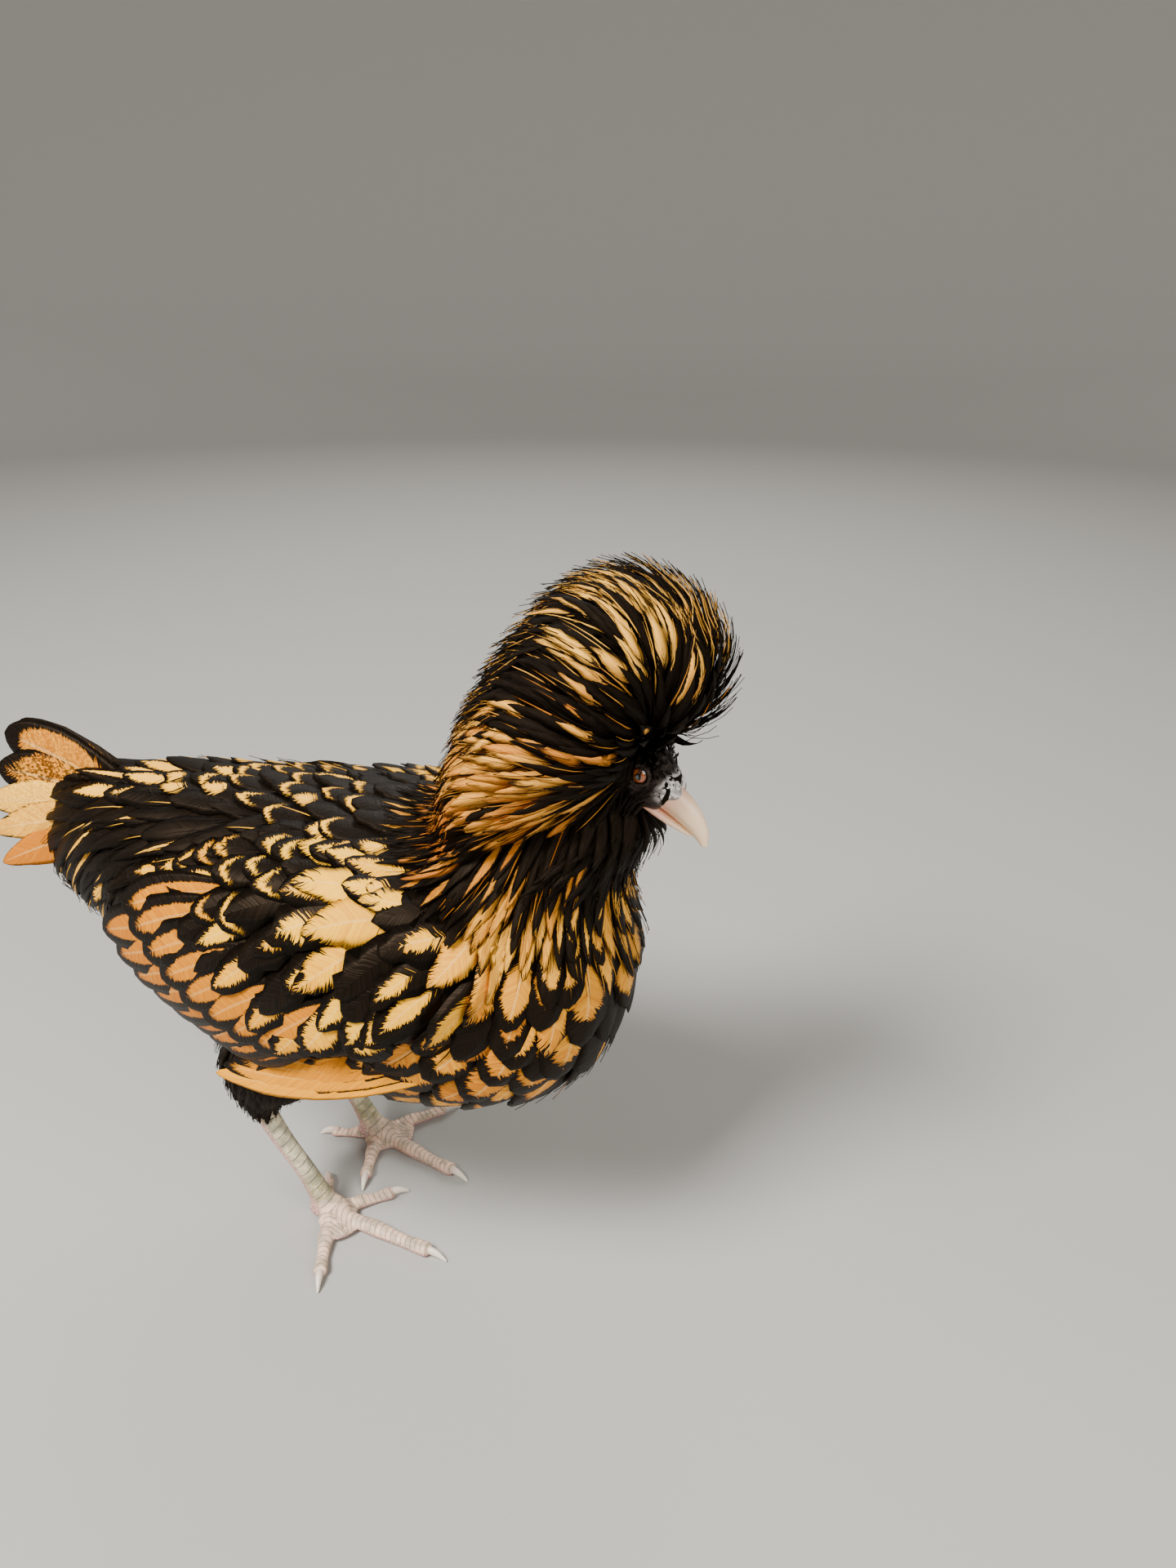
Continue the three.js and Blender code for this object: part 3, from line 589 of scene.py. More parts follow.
def smoothstep(low, high, x):
    t = np.clip((x - low) / (high - low), 0, 1)
    return t * t * (3 - 2 * t)


def face_point(along, up, y=0.0):
    """A point of the head's own frame: along the mouth line from its corner, up from it, and aside."""
    cosine, sine = math.cos(BILL_PITCH), math.sin(BILL_PITCH)
    return np.array([GAPE[0] + along * cosine + up * sine, y, GAPE[1] - along * sine + up * cosine])


def along_bill(places):
    """How far a place is past the mouth's corner along the bill."""
    ahead, up = places[:, 0] - GAPE[0], places[:, 2] - GAPE[1]
    return ahead * math.cos(BILL_PITCH) - up * math.sin(BILL_PITCH)


def from_knob(places, narrow):
    """Distance to the middle of the nostril domes, with the way aside counted less."""
    return np.linalg.norm((places - face_point(*KNOB)) * (1, narrow, 1), axis=1)


# The shift in mm that brings the hen's own eye to the middle of the frame's
EYE = face_point(*EYE_ALONG_UP)
corner_low, corner_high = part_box("eye_right")
SHIFT_X = (corner_low.x + corner_high.x) * 500 - EYE[0]


def metres(points):
    """From the hen's frame in mm to the row frame in m: x moves by SHIFT_X, then all is divided by 1000."""
    return (np.asarray(points, float) + (SHIFT_X, 0, 0)) / 1000


# Closed tubes


def bend(v, power):
    """A cosine or sine that makes an ellipse squarer, the more so the higher the power is over 2."""
    return np.sign(v) * np.abs(v) ** (2 / power)


def ring_angles(sides):
    return 2 * math.pi * (np.arange(sides) + 0.5) / sides


def ways(spine):
    """Unit vectors at each point of a spine: along it, level aside, and up from both."""
    along = unit(np.gradient(spine[:, :3], axis=0))
    aside = unit(np.cross((0, 0, 1), along))
    return along, aside, np.cross(along, aside)


def tube(rows, rings=24, sides=32, power=2.0, ends=(0.6, 0.6)):
    """Rings round a spine of x, y, z, half width, half depth. A ring's point at angle a is the centre
    + width cos(a)^(2/power) level side + depth sin(a)^(2/power) up. Towards an end cap's pole the ring
    shrinks by cos(b) and moves out by sin(b), for b from 0 to a quarter turn."""
    spine = through(rows, rings)
    turn = np.linspace(0, math.pi / 2, CAP_RINGS + 1)[1:]
    order = np.concatenate([np.zeros(CAP_RINGS, int), np.arange(rings), np.full(CAP_RINGS, rings - 1)])
    shrink = np.concatenate([np.cos(turn)[::-1], np.ones(rings), np.cos(turn)])
    push = np.concatenate([-ends[0] * np.sin(turn)[::-1], np.zeros(rings), ends[1] * np.sin(turn)])
    along, aside, up = (way[order] for way in ways(spine))
    half = spine[order, 3:5]
    centre = spine[order, :3] + along * (push * half.min(1))[:, None]
    angle = ring_angles(sides)
    across = bend(np.cos(angle), power)[None, :, None] * (half[:, :1] * aside * shrink[:, None])[:, None]
    above = bend(np.sin(angle), power)[None, :, None] * (half[:, 1:] * up * shrink[:, None])[:, None]
    return centre[:, None] + across + above


def trunk_rings(rings=72, sides=64):
    """Upright rings along x: half width cos(a)^(2/power) aside, half height sin(a)^(2/power) up."""
    back, front = ((x, z, z, 0) for x, z in TRUNK_ENDS)
    rows = np.concatenate([[back], through(TRUNK, rings), [front]])
    x, top, bottom, half_width = rows.T[..., None]
    angle = ring_angles(sides)
    y = half_width * bend(np.cos(angle), TRUNK_POWER)
    z = (top + bottom) / 2 + (top - bottom) / 2 * bend(np.sin(angle), TRUNK_POWER)
    return np.stack(np.broadcast_arrays(x, y, z), -1)


def ball(centre, radii, turn=0.0, rings=20, sides=28):
    """A sphere of the given radii, tipped about the level side axis by turn."""
    down = np.linspace(0, math.pi, rings)[:, None]
    around = 2 * math.pi * np.arange(sides)[None] / sides
    level = np.sin(down)
    shape = np.stack([level * np.cos(around), level * np.sin(around), np.cos(down) + 0 * around], -1)
    x, y, z = np.moveaxis(shape * radii, -1, 0)
    cosine, sine = math.cos(turn), math.sin(turn)
    return np.stack([x * cosine + z * sine, y, -x * sine + z * cosine], -1) + centre


def ring_quads(count, sides):
    """Four-cornered faces between neighbouring rings, each from one ring to the next."""
    here = np.arange(sides)
    after = (here + 1) % sides
    ring = sides * np.arange(count - 1)[:, None]
    corners = [ring + here, ring + after, ring + sides + after, ring + sides + here]
    return np.stack(corners, -1).reshape(-1, 4)


def single_ends(rings):
    """Rings of values as one list, with one entry for the first ring and one for the last."""
    return np.concatenate([rings[:1, 0], rings[1:-1].reshape(-1, rings.shape[-1]), rings[-1:, 0]])


def closed(rings):
    """Points, quads and triangles of a closed body over rings whose first and last are single points.
    The faces are turned round where the volume, a sum of corner a . (b x c), comes out negative."""
    count, sides = rings.shape[:2]
    points = single_ends(rings)
    quads = 1 + ring_quads(count - 2, sides)
    here = np.arange(sides)
    after = (here + 1) % sides
    last = len(points) - 1
    first_fan = np.stack([np.zeros(sides, int), after + 1, here + 1], -1)
    last_fan = np.stack([np.full(sides, last), last - sides + here, last - sides + after], -1)
    fans = np.concatenate([first_fan, last_fan])
    corner = points[np.concatenate([quads[:, :3], quads[:, [0, 2, 3]], fans])]
    if np.einsum("ij,ij->i", corner[:, 0], np.cross(corner[:, 1], corner[:, 2])).sum() < 0:
        quads, fans = quads[:, ::-1], fans[:, ::-1]
    return points, quads, fans


class Grid:
    """Numbers on an even grid of points in mm, blended in straight lines between the points."""

    def __init__(self, low, high, pitch, band):
        self.low = np.array(low, float)
        self.pitch = pitch
        self.band = band
        self.shape = tuple(int(n) for n in np.ceil((np.array(high) - self.low) / pitch) + 1)

    def axes(self):
        x, y, z = (self.low[k] + self.pitch * np.arange(self.shape[k]) for k in range(3))
        return x[:, None, None], y[None, :, None], z[None, None, :]

    def measured(self, points, quads, triangles=None):
        """Distance to a closed surface at each grid point, negative inside, cut off at the band."""
        grid = openvdb.FloatGrid.createLevelSetFromPolygons(
            (points - self.low).astype(np.float32),
            triangles=triangles,
            quads=quads.astype(np.uint32),
            transform=openvdb.createLinearTransform(voxelSize=self.pitch),
            halfWidth=self.band / self.pitch,
        )
        values = np.zeros(self.shape, np.float32)
        grid.copyToArray(values, ijk=(0, 0, 0))
        return values

    def distance(self, rings):
        points, quads, fans = closed(rings)
        return self.measured(points, quads, fans.astype(np.uint32))

    def surface(self, values):
        """Points and four-cornered faces of the surface where the values are zero."""
        grid = openvdb.FloatGrid(self.band)
        grid.transform = openvdb.createLinearTransform(voxelSize=self.pitch)
        grid.copyFromArray(values.astype(np.float32), tolerance=0.0)
        points, _, quads = grid.convertToPolygons(isovalue=0.0, adaptivity=0.0)
        return points.astype(float) + self.low, quads.astype(int)[:, ::-1]

    def read(self, values, places):
        """The values at the places, as a mean of the eight grid points round each."""
        at = np.clip((places - self.low) / self.pitch, 0, np.array(self.shape) - 1.001)
        cell = at.astype(int)
        part = at - cell
        total = 0
        for corner in range(8):
            step = np.array([corner & 1, corner >> 1 & 1, corner >> 2])
            share = np.prod(np.where(step, part, 1 - part), axis=-1)
            x, y, z = np.moveaxis(cell + step, -1, 0)
            total = total + (share[..., None] if values.ndim > 3 else share) * values[x, y, z]
        return total


def soft_union(a, b, reach):
    """The lower of two distances, rounded where they meet: b + (a - b) h - reach h (1 - h), where h is
    1/2 + (b - a) / (2 reach), kept between 0 and 1."""
    h = np.clip(0.5 + 0.5 * (b - a) / reach, 0, 1)
    return b + (a - b) * h - reach * h * (1 - h)


def on_side(rows, y_sign, x_shift=0.0):
    return [(x + x_shift, y * y_sign, *rest) for x, y, *rest in rows]


def wing_gap(x, z):
    """Distance in the x, z plane to the wing's outline, a closed line, negative inside."""
    x, z = np.broadcast_arrays(x, z)
    rows = through(WING, 40)
    line = np.concatenate([rows[:, [0, 1]], rows[::-1][:, [0, 2]]])
    step = np.roll(line, -1, 0) - line
    place = np.stack([x, z], -1)[..., None, :]
    share = np.clip(((place - line) * step).sum(-1) / np.maximum((step**2).sum(-1), 1e-9), 0, 1)
    away = np.linalg.norm(place - line - share[..., None] * step, axis=-1).min(-1)
    top = np.interp(x, rows[:, 0], rows[:, 1])
    bottom = np.interp(x, rows[:, 0], rows[:, 2])
    inside = (x > rows[0, 0]) & (x < rows[-1, 0]) & (z < top) & (z > bottom)
    return np.where(inside, -away, away)


class Body:
    """The bird's surface out to the feather tips, and its skin, as distances on one grid."""

    def __init__(self):
        self.grid = Grid(BODY_LOW, BODY_HIGH, BODY_STEP, BODY_BAND)
        make = self.grid.distance
        trunk = make(trunk_rings())
        x, _, z = self.grid.axes()
        outline = wing_gap(x[:, 0], z[0])[:, None]
        parts = {
            "trunk": trunk,
            "wing": -soft_union(WING_THICK - trunk, -outline, WING_EDGE_ROUNDING),
            "neck": make(tube(NECK, ends=(0.3, 0.4))),
            "thigh": np.minimum(*[make(tube(on_side(THIGH, s, FOOT_X[n]))) for n, s in SIDES_Y.items()]),
            "tail": make(tube(TAIL_CORE, ends=(0.3, 0.5))),
            "crest": make(tube(CREST, rings=32, sides=48, ends=(0.7, 0.6))),
            "beard": make(tube(BEARD)),
            "head": make(tube(HEAD)),
        }
        self.parts = {name: values + COAT[name] for name, values in parts.items()}
        outer, self.skin = trunk, self.parts["trunk"]
        for name, reach in JOIN_REACH.items():
            outer = soft_union(parts[name], outer, reach)
            self.skin = soft_union(self.parts[name], self.skin, reach)
        self.outer = self.grid.measured(*self.grid.surface(outer))
        self.slopes = np.stack(np.gradient(self.outer, BODY_STEP), -1).astype(np.float32)

    def height(self, places):
        return self.grid.read(self.outer, places)

    def outward(self, places):
        return unit(self.grid.read(self.slopes, places))

    def tract(self, places):
        """The name of the part whose skin is nearest to each place."""
        names = np.array(list(self.parts))
        near = np.stack([self.grid.read(values, places) for values in self.parts.values()], -1)
        return names[near.argmin(-1)]


body = Body()
rng = np.random.default_rng(SEED)


# Meshes and materials


def placed(name, data):
    """A new object of the scene with the given mesh, lamp or camera."""
    thing = bpy.data.objects.new(name, data)
    bpy.context.scene.collection.objects.link(thing)
    return thing


def new_object(name, points, faces, material, body_name="root"):
    """One mesh object from points in mm and a list of face arrays, each with its own corner count."""
    corners = np.concatenate([f.ravel() for f in faces]).astype(np.int32)
    sizes = np.concatenate([np.full(len(f), f.shape[1]) for f in faces])
    mesh = bpy.data.meshes.new(name)
    mesh.vertices.add(len(points))
    mesh.vertices.foreach_set("co", metres(points).astype(np.float32).ravel())
    mesh.loops.add(len(corners))
    mesh.loops.foreach_set("vertex_index", corners)
    mesh.polygons.add(len(sizes))
    mesh.polygons.foreach_set("loop_start", (np.cumsum(sizes) - sizes).astype(np.int32))
    mesh.polygons.foreach_set("use_smooth", np.ones(len(sizes), bool))
    mesh.update(calc_edges=True)
    mesh.materials.append(material)
    thing = placed(name, mesh)
    if body_name:
        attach(thing, body_name)
    return thing


def add_map(thing, name, per_vertex):
    index = np.empty(len(thing.data.loops), np.int32)
    thing.data.loops.foreach_get("vertex_index", index)
    layer = thing.data.uv_layers.new(name=name)
    layer.uv.foreach_set("vector", per_vertex[index].astype(np.float32).ravel())


def add_numbers(thing, name, per_vertex):
    """Four named numbers at each vertex for the materials to read."""
    attribute = thing.data.attributes.new(name, "FLOAT_COLOR", "POINT")
    attribute.data.foreach_set("color", per_vertex.astype(np.float32).ravel())


def merged(shapes):
    """Points and faces of several closed ring bodies as one."""
    points, quads, fans = zip(*map(closed, shapes))
    starts = np.cumsum([0] + [len(p) for p in points])
    faces = [np.concatenate([f + start for f, start in zip(kind, starts)]) for kind in (quads, fans)]
    return np.concatenate(points), faces


def colour(code):
    """Linear RGBA of an sRGB hex colour: ((c + 0.055) / 1.055)^2.4 above 0.04045, else c / 12.92."""
    c = np.array([int(code[k : k + 2], 16) for k in (0, 2, 4)]) / 255
    linear = np.where(c > 0.04045, ((c + 0.055) / 1.055) ** 2.4, c / 12.92)
    return (*linear, 1.0)


class Nodes:
    """Adds nodes to a material, each in one call with its settings, values and links."""

    def __init__(self, name):
        self.material = bpy.data.materials.new(name)
        self.material.use_nodes = True
        self.tree = self.material.node_tree
        self.shader = self.tree.nodes["Principled BSDF"]

    def add(self, kind, out=0, settings=None, **inputs):
        """A new node; inputs name its sockets, or in0, in1 count them; a socket is linked, a value is set."""
        node = self.tree.nodes.new("ShaderNode" + kind)
        for key, value in (settings or {}).items():
            setattr(node, key, value)
        for key, value in inputs.items():
            self.give(node.inputs[int(key[2:])] if key[2:].isdigit() else node.inputs[key], value)
        return node.outputs[out]

    def give(self, socket, value):
        if isinstance(value, bpy.types.NodeSocket):
            self.tree.links.new(value, socket)
        else:
            socket.default_value = value

    def shade(self, **inputs):
        """Gives the shader its inputs, with an underscore for each space, and returns the material."""
        for key, value in inputs.items():
            self.give(self.shader.inputs[key.replace("_", " ")], value)
        return self.material

    def math(self, operation, a, b=0.0, c=0.0):
        return self.add("Math", settings={"operation": operation}, in0=a, in1=b, in2=c)

    def plus(self, a, b):
        return self.math("ADD", a, b)

    def minus(self, a, b):
        return self.math("SUBTRACT", a, b)

    def times(self, a, b):
        return self.math("MULTIPLY", a, b)

    def over(self, a, b):
        return self.math("DIVIDE", a, b)

    def centred(self, value, size):
        """A noise value from 0 to 1 as a number round 0, size times as wide."""
        return self.times(self.minus(value, 0.5), size)

    def mix(self, factor, a, b):
        return self.add("Mix", out=2, settings={"data_type": "RGBA"}, in0=factor, in6=a, in7=b)

    def ramp(self, value, low, high, start=0.0, end=1.0):
        """Smoothly from start to end as the value rises from low to high."""
        settings = {"interpolation_type": "SMOOTHSTEP"}
        return self.add("MapRange", settings=settings, in0=value, in1=low, in2=high, in3=start, in4=end)

    def shades(self, value, one, two, low=0.35, high=0.65):
        """From one hex colour to another as the value rises from low to high."""
        return self.mix(self.ramp(value, low, high), colour(one), colour(two))

    def split(self, vector):
        return self.add("SeparateXYZ", in0=vector).node.outputs

    def numbers(self, name):
        """The four named numbers of a vertex."""
        node = self.add("Attribute", settings={"attribute_name": name}).node
        return (*self.split(node.outputs["Vector"]), node.outputs["Alpha"])

    def clouds(self, place, scale, detail):
        return self.add("TexNoise", in0=place, in2=scale, in3=detail)

    def noise(self, x, y, z, detail):
        return self.clouds(self.add("CombineXYZ", in0=x, in1=y, in2=z), 1.0, detail)

    def place_in_mm(self):
        """The place on the bird as a vector in mm, and its height alone."""
        x, y, z = (self.times(v, 1000.0) for v in self.split(self.add("TexCoord", out=OBJECT_PLACE)))
        return self.add("CombineXYZ", in0=x, in1=y, in2=z), z

    def bump(self, strength, distance, height):
        return self.add("Bump", Strength=strength, Distance=distance, Height=height)


def feather_material(name, deep, pale, dark, warm_dark_and_sheen, boxy=2.0, rough=0.5, shaft=0.0, fine=1.0):
    """Feather: a gold mark with a barb-ragged edge on dark ground, a pale shaft and fine barb lines. The dark
    barbs run from black to a warm brown that is partly painted sheen.

    The vane map gives the place on the feather. The mark numbers are the gold mark's middle, half
    length, half width and dark core, the dye numbers a random pick, gold tone, raggedness and stipple.
    The mark ends where ((along / half length)^boxy + (aside / half width)^boxy)^(1/boxy) is 1."""
    n = Nodes(name)
    across, along, _ = n.split(n.add("UVMap", settings={"uv_map": "vane"}))
    middle, half_long, half_wide, core = n.numbers("mark")
    pick, tone, ragged, stipple = n.numbers("dye")
    side = n.math("MULTIPLY_ADD", across, 2.0, -1.0)
    aside = n.math("ABSOLUTE", side)
    # Barbs run outwards and towards the tip, so a barb's number is its place along less some of aside
    barb = n.minus(n.times(along, BARB_RATE * fine), n.times(aside, BARB_SLANT))
    seed = n.times(pick, PICK_SPREAD)
    flank = n.times(n.math("SIGN", side), FLANK_SPREAD)
    clumps = n.noise(n.times(barb, CLUMP_RATE), flank, seed, 2.0)
    barbs = n.noise(n.times(barb, SINGLE_RATE), flank, seed, 1.0)
    long_part = n.over(n.minus(along, middle), half_long)
    wide_part = n.over(aside, half_wide)

    def reach(long_way, wide_way):
        long_power = n.math("POWER", n.math("ABSOLUTE", long_way), boxy)
        return n.math("POWER", n.plus(long_power, n.math("POWER", wide_way, boxy)), 1 / boxy)

    frayed = n.plus(n.centred(clumps, CLUMP_FRAY), n.centred(barbs, SINGLE_FRAY))
    frayed = n.times(frayed, ragged)
    gold = n.ramp(n.plus(reach(long_part, wide_part), frayed), *MARK_EDGE, 1.0, 0.0)
    inner = n.math("MAXIMUM", core, 0.001)
    inner_long = n.over(n.math("MULTIPLY_ADD", inner, CORE_BACK, long_part), inner)
    inner_edge = n.plus(reach(inner_long, n.over(wide_part, inner)), frayed)
    gold = n.times(gold, n.ramp(inner_edge, *CORE_EDGE))
    specks = n.noise(n.times(side, SPECK_RATES[0]), n.times(along, SPECK_RATES[1]), seed, 2.0)
    speckled = n.times(n.ramp(specks, *SPECK_EDGE), stipple)
    gold = n.minus(gold, n.times(gold, speckled))
    lit = n.plus(n.plus(tone, n.centred(barbs, 0.5)), n.centred(clumps, 0.8))
    golds = n.shades(lit, deep, pale, 0.0, 1.0)
    # The dark ground's barbs: black to warm brown, partly the feathers' own brown-black and partly a painted
    # brown sheen
    darks = n.shades(barbs, dark, warm_dark_and_sheen, 0.35, 0.75)
    if shaft:
        golds = n.mix(n.ramp(aside, *SHAFT_EDGE, shaft, 0.0), golds, colour("F6D08A"))
    ground = n.mix(gold, darks, golds)
    bumps = n.bump(0.6, 0.0005, n.plus(barbs, clumps))
    shine = {"Specular_IOR_Level": 0.17, "Specular_Tint": colour(SHEEN)}
    return n.shade(Base_Color=ground, Roughness=rough, Normal=bumps, **shine)


# Feathers

wave_rng = np.random.default_rng(SEED + 1)
WAVE_WAYS = unit(wave_rng.normal(size=(6, 3)))
WAVE_STARTS = wave_rng.random((6, 3)) * 2 * math.pi


def ripple(places, size):
    """Three smooth wavy numbers at each place, about -1 to 1: scaled means of sines of plane waves."""
    turns = places @ WAVE_WAYS.T * (2 * math.pi / size)
    return np.sin(turns[..., None] + WAVE_STARTS).mean(-2) * WAVE_SCALE


def tract_traits(name, places):
    """What grows at each place: the tract's rows blended with weights 1 / (d^2 + reach^2)^2."""
    rows = TRACTS[name]
    sites = np.array([row[:3] for row in rows], float)
    table = np.array([row[3:6] + row[7:] for row in rows], float)
    mirrored = np.where(ASIDE_ONLY, np.abs(places), places)
    gap = ((mirrored[..., None, :] - sites) ** 2).sum(-1)
    weight = 1 / (gap + ROW_REACH**2) ** 2
    weight /= weight.sum(-1, keepdims=True)
    values = weight @ table
    traits = {key: values[..., 3 + k] for k, key in enumerate(TRAIT_NAMES)}
    traits["rows"] = weight
    lie = values[..., :3] * np.where(ASIDE_ONLY, np.sign(places), 1)
    if name == "crest":
        lie = lie + unit(places - CREST_KNOB)
    waves, size = UNREST[name]
    traits["lie"] = unit(unit(lie) + waves * ripple(places, size))
    return traits


def scatter(points, quads, spacing_at):
    """Places spread over a surface, none nearer to another than the spacing there."""
    corner = points[quads]
    diagonals = corner[:, 2] - corner[:, 0], corner[:, 3] - corner[:, 1]
    area = np.linalg.norm(np.cross(*diagonals), axis=-1) / 2
    spacing = spacing_at(corner.mean(1))
    wanted = area / spacing**2 * TRIES
    count = int(wanted.sum())
    face = rng.choice(len(quads), count, p=wanted / wanted.sum())
    across, along = rng.random((2, count, 1))
    a, b, c, d = corner[face].transpose(1, 0, 2)
    places = (a * (1 - across) + b * across) * (1 - along) + (d * (1 - across) + c * across) * along
    tree = kdtree.KDTree(count)
    for k, place in enumerate(places):
        tree.insert(place, k)
    tree.balance()
    free = np.ones(count, bool)
    kept = []
    for k in range(count):
        if free[k]:
            kept.append(k)
            free[[near for _, near, _ in tree.find_range(places[k], spacing[face[k]])]] = False
    return places[kept]


def chance(size, low, spread):
    """Random numbers from low to low + spread."""
    return low + spread * rng.random(size)


def sway(size, spread):
    """Random numbers up to half the spread to either side of 0."""
    return spread * (rng.random(size) - 0.5)


def grow(roots, traits, name, stations, hug=1.0):
    """Spines of feathers: from each root the spine steps along the lie, and after each step it is put
    back to its own height over the surface, base (1 - t)^1.5 + lift t^1.5. Returns spines and normals."""
    base = body.height(roots)
    place = roots.copy()
    normal = body.outward(place)
    heading = traits["lie"]
    spine, normals = [place], [normal]
    for before, now in zip(stations[:-1], stations[1:]):
        heading = unit(heading - (heading * normal).sum(-1, keepdims=True) * normal)
        place = place + heading * ((now - before) * traits["length"])[:, None]
        height = base * (1 - now) ** 1.5 + traits["lift"] * now**1.5
        place = place + body.outward(place) * ((height - body.height(place)) * hug)[:, None]
        normal = unit(normal + (body.outward(place) - normal) * hug)
        heading = unit(heading * (1 - FOLLOW) + tract_traits(name, place)["lie"] * FOLLOW)
        spine.append(place)
        normals.append(normal)
    return np.stack(spine, 1), np.stack(normals, 1)


def vane_outline(stations, widest, point):
    """Half width along a feather, of its widest: it rises by a sine to the widest place, then closes
    as sqrt(1 - u^2) for a round tip or 1 - u^1.3 for a pointed one, u from the widest place to the tip."""
    widest, point = widest[:, None], point[:, None]
    u = np.clip((stations - widest) / (1 - widest), 0, 1)
    rise = ROOT_WIDTH + (1 - ROOT_WIDTH) * np.sin(np.minimum(stations / widest, 1) * math.pi / 2)
    return np.maximum(rise * ((1 - point) * np.sqrt(1 - u**2) + point * (1 - u**1.3)), TIP_WIDTH)


def vanes(spine, normals, outline, half, stations, cross, ragged=0.0, roll=0.0, hug=1.0, cup=0.1, thick=0.35):
    """Closed thin feathers round spines: at each station the top points lie at side * cross * width,
    raised or lowered by hug times what brings them to the spine's own height over the surface, and
    lower by cup |cross|^1.5 width; one point lies under the shaft. Returns rings and vane maps."""
    count, steps = spine.shape[:2]
    side = unit(np.cross(normals, unit(np.gradient(spine, axis=1))))
    tilt = np.reshape(roll, (-1, 1, 1))
    side = unit(side + normals * tilt)
    width = half[:, None] * outline
    torn = np.reshape(ragged, (-1, 1, 1)) * sway((count, steps, len(cross)), 1)
    offset = width[..., None] * cross * (1 + torn * stations[None, :, None])
    top = spine[:, :, None] + side[:, :, None] * offset[..., None]
    rise = -cup * np.abs(cross) ** 1.5 * width[..., None]
    if hug:
        wanted = body.height(spine)[..., None] + tilt * offset
        rise = rise + np.clip(wanted - body.height(top), -MOST_BEND, MOST_BEND) * hug
    top = top + normals[:, :, None] * rise[..., None]
    rings = np.concatenate([top, (spine - normals * thick)[:, :, None]], 2)
    across = np.broadcast_to(np.append(0.5 + 0.5 * cross, 0.5), rings.shape[:3])
    along = np.broadcast_to(stations[None, :, None], across.shape)
    return rings, np.stack([across, along], -1)


def vane_faces(count, steps, size):
    """Faces of closed feathers: quads between neighbouring rings, and one face over each end."""
    around = np.arange(size)
    ends = np.stack([around[::-1], size * (steps - 1) + around])
    start = size * steps * np.arange(count)[:, None, None]
    return [(start + one[None]).reshape(-1, one.shape[-1]) for one in (ring_quads(steps, size), ends)]


def feather_piece(name, rings, uv, chart, mark, dye, material):
    """One piece of many feathers. On the bake map each is a patch at its root's place on the chart."""
    count, steps, size = rings.shape[:3]
    thing = new_object(name, rings.reshape(-1, 3), vane_faces(count, steps, size), material)
    add_map(thing, "vane", uv.reshape(-1, 2))
    corners, patch = chart
    add_map(thing, "OFBake", (corners[:, None, None] + uv * patch).reshape(-1, 2))
    add_numbers(thing, "mark", np.repeat(mark, steps * size, 0))
    add_numbers(thing, "dye", np.repeat(dye, steps * size, 0))


def coat_chart(tract, roots):
    """Bake chart of a coat: the roots' places on an unwrap of the skin, angle round the part's axis
    against the distance along it, with a small patch at each. Returns the patches' corners and size."""
    axis, turn, along = UNWRAPS[tract]
    angle = np.arctan2(roots[:, turn[0]] - axis[0], roots[:, turn[1]] - axis[1])
    flat = np.stack([angle, roots @ np.array(along, float)], -1)
    places = (flat - flat.min(0)) / (np.ptp(flat, axis=0) + 1e-9)
    return CHART_RIM + places * (1 - 2 * CHART_RIM - CHART_PATCH), CHART_PATCH


def tile_chart(count):
    """Bake chart of a few big feathers: each has its own tile of a square grid over the map."""
    side = math.ceil(math.sqrt(count))
    tile = np.arange(count)
    return (np.stack([tile % side, tile // side], -1) + TILE_GAP) / side, (1 - 2 * TILE_GAP) / side


def dyes(traits, count):
    """The four dye numbers of each feather; only the big quills have a stipple."""
    tone = np.clip(traits["tone"] + sway(count, TONE_SWAY), 0, 1)
    return np.stack([rng.random(count), tone, traits["fray"], np.zeros(count)], -1)


def marks(tract, traits, places):
    """The four mark numbers of each feather; chance and smooth waves together say which are marked."""
    count = len(places)
    together, size = PATCHES.get(tract, (0, 1))
    waves = 0.5 + 0.5 * ripple(places, size)[:, 0]
    marked = rng.random(count) * (1 - together) + waves * together < traits["share"]
    vary = 1 + sway((count, 3), MARK_SWAY)
    sizes = np.stack([np.where(marked, traits["at"], OFF_VANE), traits["long"], traits["wide"]], -1) * vary
    return np.concatenate([sizes, traits["core"][:, None]], -1)


def dressed(tract, traits, places):
    """The traits with the look of the places where the feathers show: the tone, the share of marked
    feathers, and a kind picked by the rows' weights."""
    shown = tract_traits(tract, places)
    pick = (shown["rows"].cumsum(-1) < rng.random((len(places), 1))).sum(-1).clip(0, len(TRACTS[tract]) - 1)
    kinds = np.array([KINDS[row[6]] for row in TRACTS[tract]], float)[pick]
    looks = dict(zip(("point", "at", "long", "wide", "fray", "core"), kinds.T))
    return traits | looks | {"tone": shown["tone"], "share": shown["share"]}


def covert_ends(roots, traits):
    """Where the wing's coverts end, just short of their tips: the places, and their gap to the wing."""
    ends = roots + traits["lie"] * traits["length"][:, None] * COVERT_SHARE
    return ends, wing_gap(ends[:, 0], ends[:, 2])


def trimmed(traits, roots):
    """The lengths of the wing's coverts, less near its lower rim, so that a strip of quills stays bare."""
    ends, gap = covert_ends(roots, traits)
    over = np.clip(gap + RIM_STRIP, 0, MOST_TRIM)
    return traits["length"] - np.where(ends[:, 2] < RIM_BELOW, TRIM_RATE * over, 0)


def on_coverts(roots):
    """True for the wing's roots whose feathers end over neither the bare quills nor the wing's edge."""
    ends, gap = covert_ends(roots, tract_traits("wing", roots))
    x, z, slope_x, slope_z = BARE_QUILLS
    inner = (ends[:, 0] - x) * slope_x + (ends[:, 2] - z) * slope_z > -BARE_OVERLAP
    return inner & ((ends[:, 2] > RIM_BELOW) | (gap < MOST_TRIM - RIM_STRIP))


